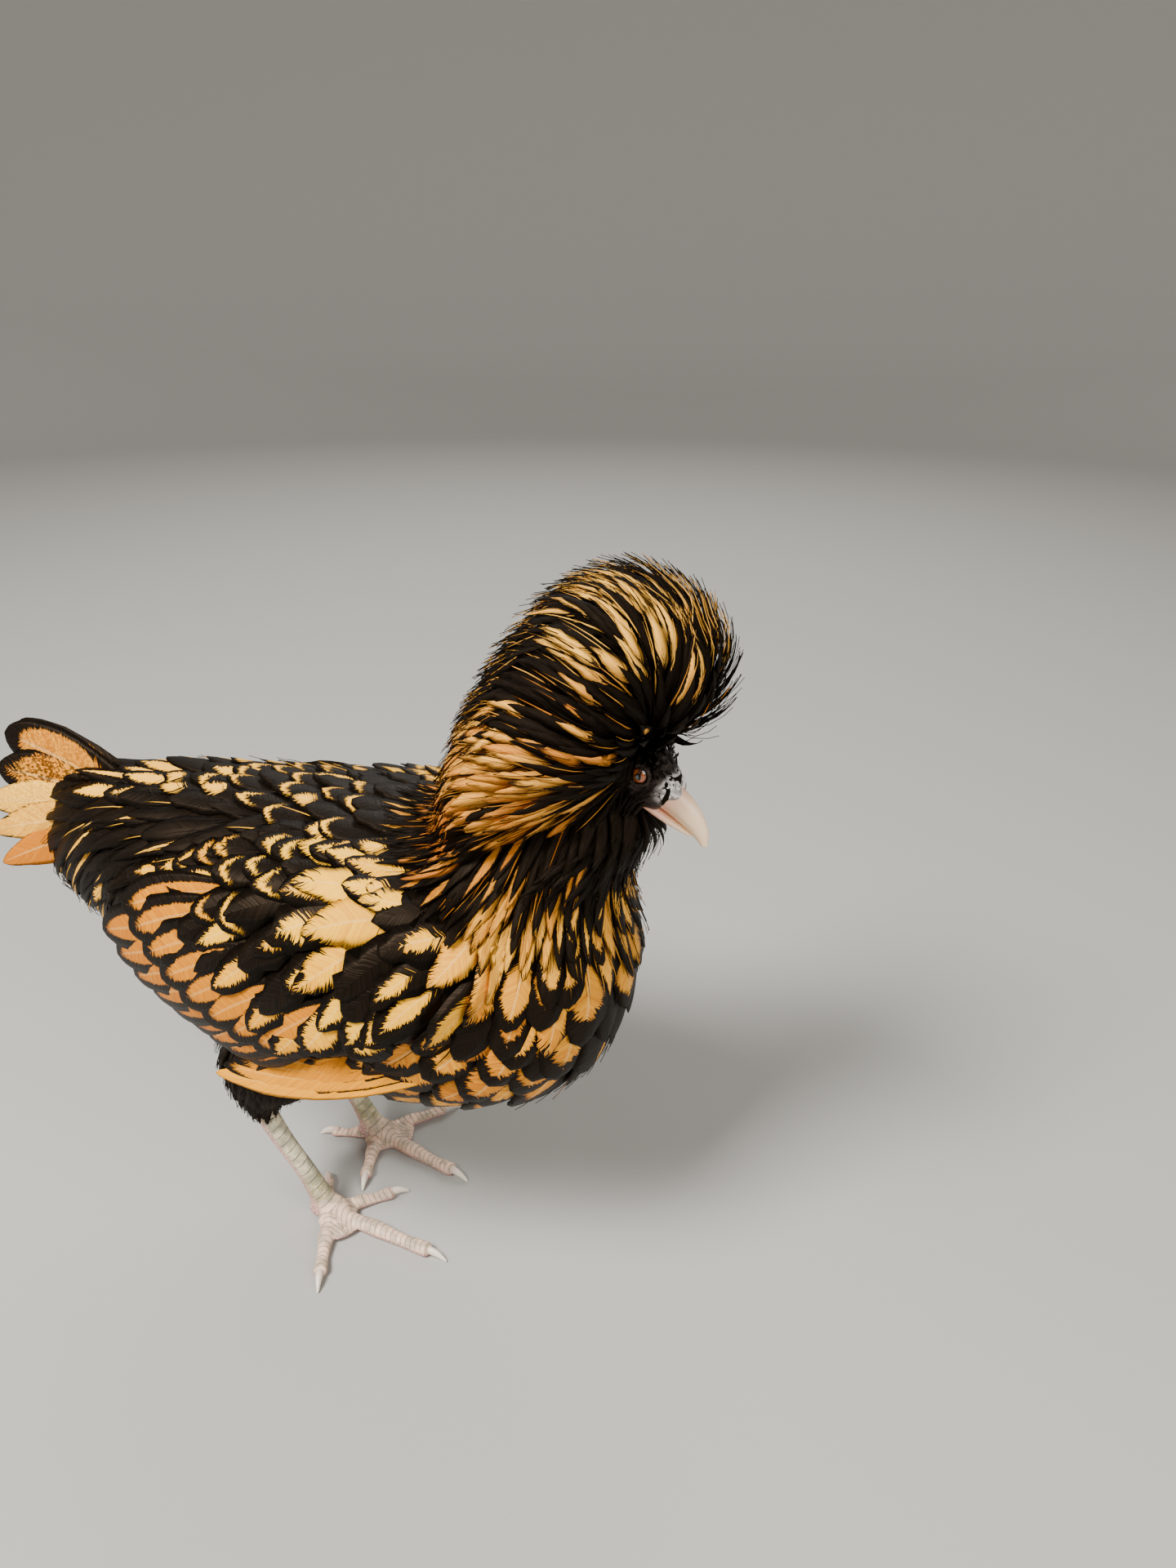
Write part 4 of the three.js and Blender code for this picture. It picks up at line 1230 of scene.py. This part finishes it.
def leaves_eye(spine):
    """False for the feathers whose spine passes in front of an eye."""
    from_axis = np.hypot(spine[..., 0] - EYE[0], spine[..., 2] - EYE[2])
    outer = np.abs(spine[..., 1]) > EYE_Y - EYE_RADIUS
    return ~((from_axis < EYE_BARE) & outer).any(1)


def varied(traits, count, spread):
    """The traits with each feather's own chance changes."""
    traits["length"] = traits["length"] * chance(count, *SIZE_CHANCE)
    traits["lift"] = traits["lift"] * chance(count, *LIFT_CHANCE)
    traits["lie"] = unit(traits["lie"] + sway((count, 3), spread))
    return traits


def grown(tract, roots, traits, stations, hug, shown):
    """Spines and normals of the feathers that leave the eyes free, their roots, and their traits with
    the look of the place that the spine has at the station shown."""
    spine, normals = grow(roots, traits, tract, stations, hug)
    free = leaves_eye(spine)
    traits = {key: value[free] for key, value in traits.items()}
    return spine[free], normals[free], roots[free], dressed(tract, traits, spine[free, shown])


def coat_piece(name, tract, roots, rings, uv, mark, traits):
    dye = dyes(traits, len(roots))
    chart = coat_chart(tract, roots)
    feather_piece(name, rings, uv, chart, mark, dye, LOOKS[tract])


def cover(name, roots, tract, cross, under=False):
    """All the feathers of one tract as one piece; those under the wing's quills lie low and are black."""
    traits = varied(tract_traits(tract, roots), len(roots), SPREAD[tract])
    if under:
        traits["lift"] = np.full(len(roots), UNDER_LIFT)
    elif tract == "wing":
        traits["length"] = trimmed(traits, roots)
    spine, normals, roots, traits = grown(tract, roots, traits, VANE_STATIONS, COAT_HUG, SHOWN)
    traits["share"] = traits["share"] * (not under)
    count = len(roots)
    outline = vane_outline(VANE_STATIONS, WIDEST - WIDEST_BACK * traits["point"], traits["point"])
    half = traits["width"] / 2 * chance(count, *SIZE_CHANCE)
    roll = sway(count, ROLL_SWAY)
    rings, uv = vanes(spine, normals, outline, half, VANE_STATIONS, cross, traits["fray"], roll)
    mark = marks(tract, traits, spine[:, SHOWN])
    coat_piece(name, tract, roots, rings, uv, mark, traits)


def strands(name, tract):
    """Fine loose strands that lie over a tract and stand a little off it."""
    spacing, length_share, wide = STRANDS[tract]
    roots = tract_roots(tract, spacing)
    if tract == "trunk":
        roots = roots[tract_traits(tract, roots)["share"] < STRANDS_BLACK]
    traits = varied(tract_traits(tract, roots), len(roots), STRAND_SPREAD)
    traits["length"] = traits["length"] * length_share
    traits["lift"] = 1.0 + traits["lift"] * STRAND_LIFT
    spine, normals, roots, traits = grown(tract, roots, traits, STRAND_STATIONS, STRAND_HUG, STRAND_SHOWN)
    count = len(roots)
    outline = vane_outline(STRAND_STATIONS, np.full(count, STRAND_WIDEST), np.ones(count))
    half = wide / 2 * chance(count, *STRAND_CHANCE)
    rings, uv = vanes(spine, normals, outline, half, STRAND_STATIONS, BLADE, hug=0.0, cup=0.0, thick=0.3)
    mark = np.array(STRAND_MARK) * np.ones((count, 4))
    mark[rng.random(count) > traits["share"] * STRAND_GOLD, 0] = OFF_VANE
    coat_piece(name, tract, roots, rings, uv, mark, traits)


def quills(name, rows, spine_of, look):
    """Big feathers placed one by one: each row is what spine_of reads, then half width, pointedness,
    the mark's four numbers, tone, raggedness and stipple."""
    table = np.array([row[1] for row in rows], float)
    count = len(rows)
    spine, normals = map(np.stack, zip(*[spine_of(*row[0]) for row in rows]))
    outline = vane_outline(QUILL_STATIONS, np.full(count, QUILL_WIDEST), table[:, 1])
    shape = {"ragged": 0.1, "hug": 0.0, "thick": 0.6}
    rings, uv = vanes(spine, normals, outline, table[:, 0], QUILL_STATIONS, QUILL_CROSS, **shape)
    dye = np.concatenate([rng.random((count, 1)), table[:, 6:9]], 1)
    feather_piece(name, rings, uv, tile_chart(count), table[:, 2:6], dye, look)


def facing(side, up):
    """One normal for all the stations of a quill: outwards, and up by a share."""
    return unit(np.array([0, side, up])) * np.ones((len(QUILL_STATIONS), 1))


def bowed(root, tip, bow):
    """Numbers from root to tip at the quill's stations, more by bow times a sine in between."""
    t = QUILL_STATIONS
    return root + (tip - root) * t + bow * np.sin(math.pi * t)


def tail_spine(side, x, y, z):
    """A straight line from the tail's root to the feather's tip, bowed up by a sine."""
    t = QUILL_STATIONS[:, None]
    spine = TAIL_ROOT + ((x, y, z) - TAIL_ROOT) * t + TAIL_BOW * np.sin(math.pi * t)
    return spine * (1, side, 1), facing(side, TAIL_UP)


def wing_spine(side, tip_x, tip_z, turn, length, lift):
    """A line over the wing that rises forward by turn from tip to root: how far it stands out is a
    smooth square curve through the surface's own, less the root's depth and more the tip's lift."""
    t = QUILL_STATIONS
    x = bowed(tip_x + length * math.cos(turn), tip_x, 0)
    z = bowed(tip_z + length * math.sin(turn), tip_z, QUILL_BOW)
    places = np.stack(np.broadcast_arrays(x[:, None], side * DEPTHS, z[:, None]), -1)
    inside = body.height(places) < 0
    edge = DEPTHS[np.where(inside.any(1), len(DEPTHS) - 1 - inside[:, ::-1].argmax(1), 0)]
    good = edge > LEAST_DEPTH
    out = np.polyval(np.polyfit(t[good], edge[good], 2), t) - QUILL_SUNK * (1 - t) ** 2 + lift * t
    spine = np.stack([x, side * out, z], -1)
    normal = body.outward(spine).mean(0) * (1, 1, QUILL_UPRIGHT)
    return spine, unit(normal) * np.ones((len(t), 1))


def primary_spine(side, root_x, root_z, tip_x, tip_z, out):
    """A line from the wrist to the tip under the wing's lower edge, bowed a little downwards."""
    x, z = bowed(root_x, tip_x, 0), bowed(root_z, tip_z, -QUILL_BOW)
    y = np.interp(x, *np.transpose(PRIMARIES_OUT)) + out - PRIMARY_SUNK * (1 - QUILL_STATIONS) ** 3
    return np.stack([x, side * y, z], -1), facing(side, PRIMARY_UP)


# Black, and a warm brown that is partly painted sheen
BLACK_AND_BROWN_SHEEN = ("060504", "160E08")
LOOKS = {
    # Long soft feathers: gold streaks on black, matt
    "crest": feather_material("crest feathers", "B86018", "FFBC4C", *BLACK_AND_BROWN_SHEEN, 4.0, 0.65),
    # Hair-like black feathers with a little brown sheen
    "beard": feather_material("beard feathers", "70300C", "B8641C", "060504", "140D09", rough=0.55),
    # Narrow hackles, brown-orange on black
    "neck": feather_material("neck hackles", "A0580C", "FFB83C", *BLACK_AND_BROWN_SHEEN, rough=0.5),
    # Round smooth body feathers with a gold middle and black lace
    "trunk": feather_material("laced body feathers", "C06A0A", "FFB830", *BLACK_AND_BROWN_SHEEN, shaft=0.3, fine=1.5),
    "wing": feather_material("laced wing coverts", "C87208", "FFBC22", *BLACK_AND_BROWN_SHEEN, 2.0, 0.45, 0.25, 1.5),
    # Stiff quills: long gold webs with a black edge
    "flight": feather_material("flight feathers", "B46000", "F4A006", *BLACK_AND_BROWN_SHEEN, 3.5, 0.45, 0.2, 2.6),
    "tail": feather_material("tail feathers", "C06C0C", "FFBC44", *BLACK_AND_BROWN_SHEEN, 3.0, 0.5, 0.3, 2.3),
    # Loose grey-black down without a shine
    "thigh": feather_material("soft dark fluff", "6A4A30", "94704C", "0D0A08", "261D16", rough=0.75),
}
LOOKS["head"] = LOOKS["beard"]

skin_points, skin_quads = body.grid.surface(body.skin)
quad_tract = body.tract(skin_points[skin_quads].mean(1))


def tract_roots(tract, spacing=None):
    """Places of the roots over one tract's skin, at a given spacing or at that of the tract's rows.
    Those of the head keep clear of the nostril domes and the bill."""

    def spacing_at(places):
        return np.full(len(places), spacing) if spacing else tract_traits(tract, places)["spacing"]

    roots = scatter(skin_points, skin_quads[quad_tract == tract], spacing_at)
    if tract == "head":
        roots = roots[(from_knob(roots, 0.8) > KNOB_BARE) & (along_bill(roots) < BILL_BARE)]
    return roots


for tract in TRACTS:
    roots = tract_roots(tract)
    cross = NARROW if tract in ("crest", "beard", "head", "thigh") else BROAD
    if tract == "wing":
        for side, sign in SIDES_Y.items():
            here, upper = roots[:, 1] * sign > 0, on_coverts(roots)
            cover(f"wing_coverts_{side}", roots[here & upper], tract, cross)
            cover(f"under_wing_{side}", roots[here & ~upper], "trunk", cross, under=True)
    else:
        cover(f"{tract}_feathers", roots, tract, cross)
for tract in STRANDS:
    strands(f"{tract}_strands", tract)

tail_rows = [((sign, *tip), look) for sign in SIDES_Y.values() for tip, look in TAIL_FEATHERS]
quills("tail_quills", tail_rows, tail_spine, LOOKS["tail"])
for side, sign in SIDES_Y.items():
    rows = []
    for tips, look, length, lift in WING_QUILLS:
        turns = np.radians(np.linspace(*QUILL_TURNS, len(tips)))
        for k, (tip, turn) in enumerate(zip(tips, turns)):
            rows.append(((sign, *tip, turn, length, lift + QUILL_STEP * k), look))
    quills(f"secondaries_{side}", rows, wing_spine, LOOKS["flight"])
    rows = [((sign, *line), look) for line, look in PRIMARY_FEATHERS]
    quills(f"primary_quills_{side}", rows, primary_spine, LOOKS["flight"])

# Skin of the face


def face_rows(rows):
    return [(*face_point(along, up), width, depth) for along, up, width, depth in rows]


def head_skin():
    """The bare face: the head's own tube with a collar at the bill, nostril domes, a small split comb
    and rings of lid, joined softly; where the eyeballs sit, the sockets are cut out."""
    grid = Grid(HEAD_LOW, HEAD_HIGH, HEAD_STEP, HEAD_BAND)
    x, y, z = grid.axes()
    skin = grid.distance(tube(HEAD, ends=(0.6, 0.5))) + COAT["head"]
    skin = soft_union(grid.distance(tube(face_rows(CERE), ends=(0.3, 0.3))), skin, CERE_BLEND)
    for sign in SIDES_Y.values():
        for along, up, out, radii, tip in FACE_LUMPS:
            lump = ball(face_point(along, up, out * sign), radii, BILL_PITCH + tip)
            skin = soft_union(grid.distance(lump), skin, LUMP_BLEND)
        from_axis = np.sqrt((x - EYE[0]) ** 2 + (z - EYE[2]) ** 2)
        lid_y = sign * (EYE_Y + LID_OUT)
        lid = np.sqrt((from_axis - LID_RADIUS) ** 2 + (y - lid_y) ** 2) - LID_THICK
        skin = soft_union(lid, skin, LID_BLEND)
        socket = np.sqrt(from_axis**2 + (y - sign * EYE_Y) ** 2) - EYE_RADIUS - SOCKET_GAP
        skin = -soft_union(-skin, socket, SOCKET_BLEND)
    return grid.surface(skin)


# Legs and feet


def foot_rows(side, toe, steps):
    """Rows of a toe or claw from steps of distance along it, height, half width and half depth."""
    heading = math.radians(TOES[side][toe][0])
    x, y = FOOT_X[side], SIDES_Y[side] * FOOT_Y
    return [(x + s * math.cos(heading), y + s * math.sin(heading), *rest) for s, *rest in steps]


def toe_steps(length, radius):
    """Toe pads: half width radius (1 - t / 5) + 0.45 cos(4 pi t), widest at the joints' pads."""
    steps = []
    for t in (0.05, 0.2, 0.35, 0.5, 0.65, 0.8, 0.92, 1.0):
        pad = radius * (1 - 0.2 * t) + 0.45 * math.cos(4 * math.pi * t)
        steps.append((t * length, 0.86 * pad, pad, 0.9 * pad))
    return steps


def claw_steps(length, claw):
    """A claw from 2 mm inside its toe to its tip: place along, height, half width and half depth."""
    return [(length + share * claw + more, *rest) for share, more, *rest in CLAW]


def leg_skin(side):
    """One leg below the feathers: shank, palm and toes joined softly, and thin webs between the toes'
    bases; flat where it stands. Returns points, faces and the places for the scales."""
    x, y = FOOT_X[side], SIDES_Y[side] * FOOT_Y
    grid = Grid(*FOOT_BOX[side], FOOT_STEP, FOOT_BAND)
    limbs = {"shank": on_side(SHANK, SIDES_Y[side], x)}
    for toe, (_, length, _, radius) in TOES[side].items():
        limbs[toe] = foot_rows(side, toe, toe_steps(length, radius))
    palm = [(x + along, y, *rest) for along, *rest in PALM]
    skin = grid.distance(tube(palm, ends=(0.8, 0.8)))
    for rows in limbs.values():
        skin = soft_union(grid.distance(tube(rows, ends=(0.7, 0.8))), skin, TOE_BLEND)
    for one, two, share in WEBS:
        a, b = (math.radians(TOES[side][toe][0]) for toe in (one, two))
        way = unit(np.array([math.cos(a) + math.cos(b), math.sin(a) + math.sin(b), 0]))
        reach = share * min(TOES[side][one][1], TOES[side][two][1])
        start = np.array([x, y, WEB_HEIGHT])
        rows = [(*(start + way * reach * t), *rest) for t, *rest in WEB_STEPS]
        skin = soft_union(grid.distance(tube(rows, ends=(0.3, 0.6))), skin, WEB_BLEND)
    skin = np.maximum(skin, -grid.axes()[2])
    points, quads = grid.surface(skin)
    return points, quads, scale_places(limbs, points)


def scale_places(limbs, points):
    """For each point its place on the nearest limb: mm along it, the height above its axis as a share
    of the half depth, the way aside as a share of the half width, and 1 for the shank or 0 for a toe."""
    best = np.full(len(points), np.inf)
    result = np.zeros((len(points), 4))
    for name, rows in limbs.items():
        spine = through(rows, 60)
        gap = np.linalg.norm(points[:, None] - spine[None, :, :3], axis=-1)
        near = gap.argmin(1)
        share = gap[np.arange(len(points)), near] / spine[near, 3]
        from_axis = points - spine[near, :3]
        ahead, aside, up = ((from_axis * way[near]).sum(-1) for way in ways(spine))
        along = travelled(spine[:, :3])[near] + ahead
        shank = np.full(len(points), float(name == "shank"))
        place = np.stack([along, up / spine[near, 4], aside / spine[near, 3], shank], -1)
        closer = share < best
        best = np.where(closer, share, best)
        result[closer] = place[closer]
    return result


def leg_material():
    """Scaly bare leg: pale grey-white plates with fine dark joints down the shank's front and over the
    toes, small round scales at the sides, pink skin below, a yellow-green stain at the ankle."""
    n = Nodes("scaly leg skin")
    along, up, across, shank = n.numbers("scales")
    place, height = n.place_in_mm()
    period = n.math("MULTIPLY_ADD", shank, SCUTE_SHANK - SCUTE_TOE, SCUTE_TOE)
    bent = n.math("MULTIPLY_ADD", n.times(across, across), -SCUTE_BEND, along)
    plate = n.math("FRACT", n.over(bent, period))
    joint = n.ramp(n.math("ABSOLUTE", n.minus(plate, 0.5)), *JOINT_EDGE)
    plated = n.ramp(up, *PLATED_FROM)
    cells = n.add("TexVoronoi", settings={"feature": "DISTANCE_TO_EDGE"}, Vector=place, Scale=CELL_RATE)
    crease = n.ramp(cells, *CREASE_EDGE, 1.0, 0.0)
    line = n.plus(n.times(joint, plated), n.times(crease, n.minus(1.0, plated)))
    patchy = n.clouds(place, 0.16, 4.0)
    fine = n.clouds(place, 0.9, 3.0)
    top = n.shades(patchy, "98917A", "DACDA8")
    # The toes' tops: their own pinkish white, made paler as painted sunlight and highlights
    toe_top_and_painted_light = n.shades(patchy, "B49E84", "F0C8AA")
    below = n.shades(fine, "DE9488", "E6C0B2")
    plates = n.mix(n.ramp(height, *TOES_TO_SHANK), toe_top_and_painted_light, top)
    base = n.mix(n.ramp(up, -0.35, 0.35), below, plates)
    ankle = n.times(n.ramp(height, *STAIN_LOW), n.ramp(height, *STAIN_HIGH, 1.0, 0.0))
    stain = n.times(n.times(ankle, n.ramp(fine, 0.4, 0.6)), STAIN_SHARE)
    base = n.mix(stain, base, colour("9B8F52"))
    base = n.mix(n.times(line, LINE_SHARE), base, colour("6F6A62"))
    relief = n.minus(n.times(plate, plated), n.times(line, 0.8))
    bumps = n.bump(0.8, 0.0005, relief)
    inner = {"Subsurface_Weight": 0.1, "Subsurface_Scale": 0.002}
    return n.shade(Base_Color=base, Roughness=0.5, Normal=bumps, **inner)


def face_material():
    """Face skin: thin grey-black wrinkled skin; pale grey on the nostril domes with a painted highlight;
    painted near-black shade under the coat.
    """
    n = Nodes("wrinkled face skin")
    place, _ = n.place_in_mm()
    folds = n.clouds(place, 0.45, 4.0)
    pits = n.clouds(place, 1.6, 2.0)
    dark = n.shades(folds, "1C1716", "3A322F")
    # The domes' own pale grey, lightened up to ECE4E0 as a painted highlight of the wet skin's glints
    pale = n.shades(folds, "8A8380", "ECE4E0", 0.38, 0.6)
    painted_shade_under_coat, _, _, domes = n.numbers("bare")
    # Under the coat the skin is painted near-black (0A0602) as the shade in the gaps between the feathers
    base = n.mix(painted_shade_under_coat, n.mix(domes, dark, pale), colour("0A0602"))
    bumps = n.bump(0.7, 0.0006, n.plus(folds, pits))
    rough = n.ramp(painted_shade_under_coat, 0, 1, 0.42, 0.95)
    shine = {"Specular_IOR_Level": 0.2, "Specular_Tint": colour(SHEEN)}
    return n.shade(Base_Color=base, Roughness=rough, Normal=bumps, **shine)


def horn_material(name, root, tip, start, end):
    """Horn: translucent pinkish cream, paler to the tip, with faint long growth lines."""
    n = Nodes(name)
    along, _, _, turn = n.numbers("horn")
    lines = n.noise(n.times(along, 0.15), n.times(turn, 6.0), 3.0, 3.0)
    base = n.shades(along, root, tip, start, end)
    base = n.mix(n.times(n.ramp(lines, 0.4, 0.7), 0.12), base, colour("D8A888"))
    bumps = n.bump(0.3, 0.0003, lines)
    inner = {"Subsurface_Weight": 0.15, "Subsurface_Scale": 0.003}
    return n.shade(Base_Color=base, Roughness=0.33, Normal=bumps, **inner)


def eye_material():
    """Eye: glossy wet ball with a black pupil, an orange-bay iris darker at its rim and deepened as painted
    shade of the crest, and dark round it.
    """
    n = Nodes("wet eye")
    radius, _, _, turn = n.numbers("iris")
    rays = n.noise(n.times(turn, 30.0), n.times(radius, 0.4), 1.0, 2.0)
    # The iris's own orange-bay, made darker throughout as painted shade of the crest over the eye
    iris = n.shades(rays, "6E2C0A", "B8601A", 0.3, 0.7)
    iris = n.mix(n.ramp(radius, *IRIS_EDGE), iris, colour("2A1408"))
    base = n.mix(n.ramp(radius, *PUPIL_EDGE, 1.0, 0.0), iris, colour("050404"))
    return n.shade(Base_Color=base, Roughness=0.12, Coat_Weight=1.0, Coat_Roughness=0.03)


def four_numbers(first, last):
    """Rings of four numbers, of which the materials read the first and the last."""
    return np.stack(np.broadcast_arrays(first, 0, 0, last), -1)


def horn_piece(name, rows, material, nodes, power=2.0):
    """Tubes of horn as one piece, with its numbers: mm along each, and how far round, 1 to 0 to 1."""
    shapes = [tube(one, rings=18, sides=20, power=power, ends=(0.2, 0.9)) for one in rows]
    points, faces = merged(shapes)
    numbers = []
    for shape in shapes:
        around = np.abs(np.linspace(-1, 1, shape.shape[1]))
        numbers.append(single_ends(four_numbers(travelled(shape.mean(1))[:, None], around)))
    thing = new_object(name, points, faces, material)
    add_numbers(thing, "horn", np.concatenate(numbers))
    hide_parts(*nodes)


# The skin is one piece: the body under its coat, the face and the two legs
face_points, face_quads = head_skin()
legs = [leg_skin(side) for side in SIDES_Y]
all_points = [skin_points, face_points] + [leg[0] for leg in legs]
starts = np.cumsum([0] + [len(points) for points in all_points])
all_quads = [skin_quads, face_quads] + [leg[1] for leg in legs]
skin_faces = [quads + start for quads, start in zip(all_quads, starts)]
skin = new_object("skin", np.concatenate(all_points), skin_faces, face_material())
bare = np.zeros((starts[-1], 4))
# The body's skin under the coat takes the painted near-black shade
bare[: starts[1], 0] = 1
bare[starts[1] : starts[2], 3] = 1 - smoothstep(*DOMES_EDGE, from_knob(face_points, 0.7))
add_numbers(skin, "bare", bare)
scales = np.zeros((starts[-1], 4))
scales[starts[2] :] = np.concatenate([leg[2] for leg in legs])
add_numbers(skin, "scales", scales)
skin.data.materials.append(leg_material())
on_leg = np.arange(len(skin.data.polygons)) >= sum(len(quads) for quads in all_quads[:2])
skin.data.polygons.foreach_set("material_index", on_leg.astype(np.int32))
FLESH = ["head", "neck", "trunk", "crest", "beard", "tail", "comb"]
for side in SIDES_Y:
    parts = ("wing", "primaries", "thigh", "shank", "foot", *(f"toe_{toe}" for toe in TOES[side]))
    FLESH += [f"{part}_{side}" for part in parts]
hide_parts(*FLESH)

bill_horn = horn_material("pinkish bill horn", "FFBC9C", "FFDCB4", 2, 20)
horn_piece("bill_upper", [face_rows(BILL_UPPER)], bill_horn, ["beak_upper"], 1.8)
horn_piece("bill_lower", [face_rows(BILL_LOWER)], bill_horn, ["beak_lower"])
claw_horn = horn_material("pale claw horn", "D8B9A6", "E9DCC8", 0, 10)
for side, toes in TOES.items():
    rows = [foot_rows(side, toe, claw_steps(length, claw)) for toe, (_, length, claw, _) in toes.items()]
    horn_piece(f"claws_{side}", rows, claw_horn, [f"claw_{toe}_{side}" for toe in TOES[side]])

wet = eye_material()
for side, sign in SIDES_Y.items():
    shape = ball((0, 0, 0), (EYE_RADIUS, EYE_RADIUS, EYE_RADIUS), rings=25, sides=40)
    x, y, z = np.moveaxis(shape, -1, 0)
    radius = np.hypot(x, y)
    radius = np.where(z > 0, radius, 2 * EYE_RADIUS - radius)
    looking = np.stack([x, z * sign, y], -1) + EYE + (0, sign * EYE_Y, 0)
    points, quads, fans = closed(looking)
    eye = new_object(f"eyeball_{side}", points, [quads, fans], wet)
    add_numbers(eye, "iris", single_ends(four_numbers(radius, np.arctan2(y, x))))
    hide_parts(f"eye_{side}")

# Floor, light and camera

turn = np.linspace(0, math.pi / 2, COVE_STEPS)
reach = np.concatenate([COVE_RADIUS + COVE_BEND * np.sin(turn), [COVE_RADIUS + COVE_BEND]])[:, None]
rise = np.concatenate([COVE_BEND * (1 - np.cos(turn)), [COVE_HEIGHT]])[:, None]
angle = 2 * math.pi * np.arange(COVE_SIDES) / COVE_SIDES
cove = np.stack([reach * np.cos(angle), reach * np.sin(angle), rise + 0 * angle], -1)
walls = ring_quads(len(cove), COVE_SIDES)[:, [0, 3, 2, 1]]
flat = np.arange(COVE_SIDES)[None]
plain = Nodes("matt floor paint").shade(Base_Color=colour("A6A39C"), Roughness=0.9)
new_object("floor", cove.reshape(-1, 3) * 1000, [walls, flat], plain, body_name=None)

for name, place, size, watts in LIGHTS:
    lamp = bpy.data.lights.new(name, "AREA")
    lamp.size = size
    lamp.energy = watts
    light = placed(name, lamp)
    light.location = place
    light.rotation_euler = (Vector(LIGHTS_AIM) - Vector(place)).to_track_quat("-Z", "Y").to_euler()
world = bpy.data.worlds.new("studio")
world.use_nodes = True
sky = world.node_tree.nodes["Background"]
sky.inputs["Color"].default_value = colour("DDDEE0")
sky.inputs["Strength"].default_value = WORLD_LIGHT
bpy.context.scene.world = world

lens = bpy.data.cameras.new("camera")
lens.sensor_fit = "AUTO"
lens.sensor_width = SENSOR
lens.lens = SENSOR * FOCAL_SHARE
camera = placed("camera", lens)
camera.location = metres(CAMERA_PLACE)
camera.rotation_euler = (math.radians(CAMERA_PITCH), 0, math.radians(CAMERA_YAW))
bpy.context.scene.camera = camera
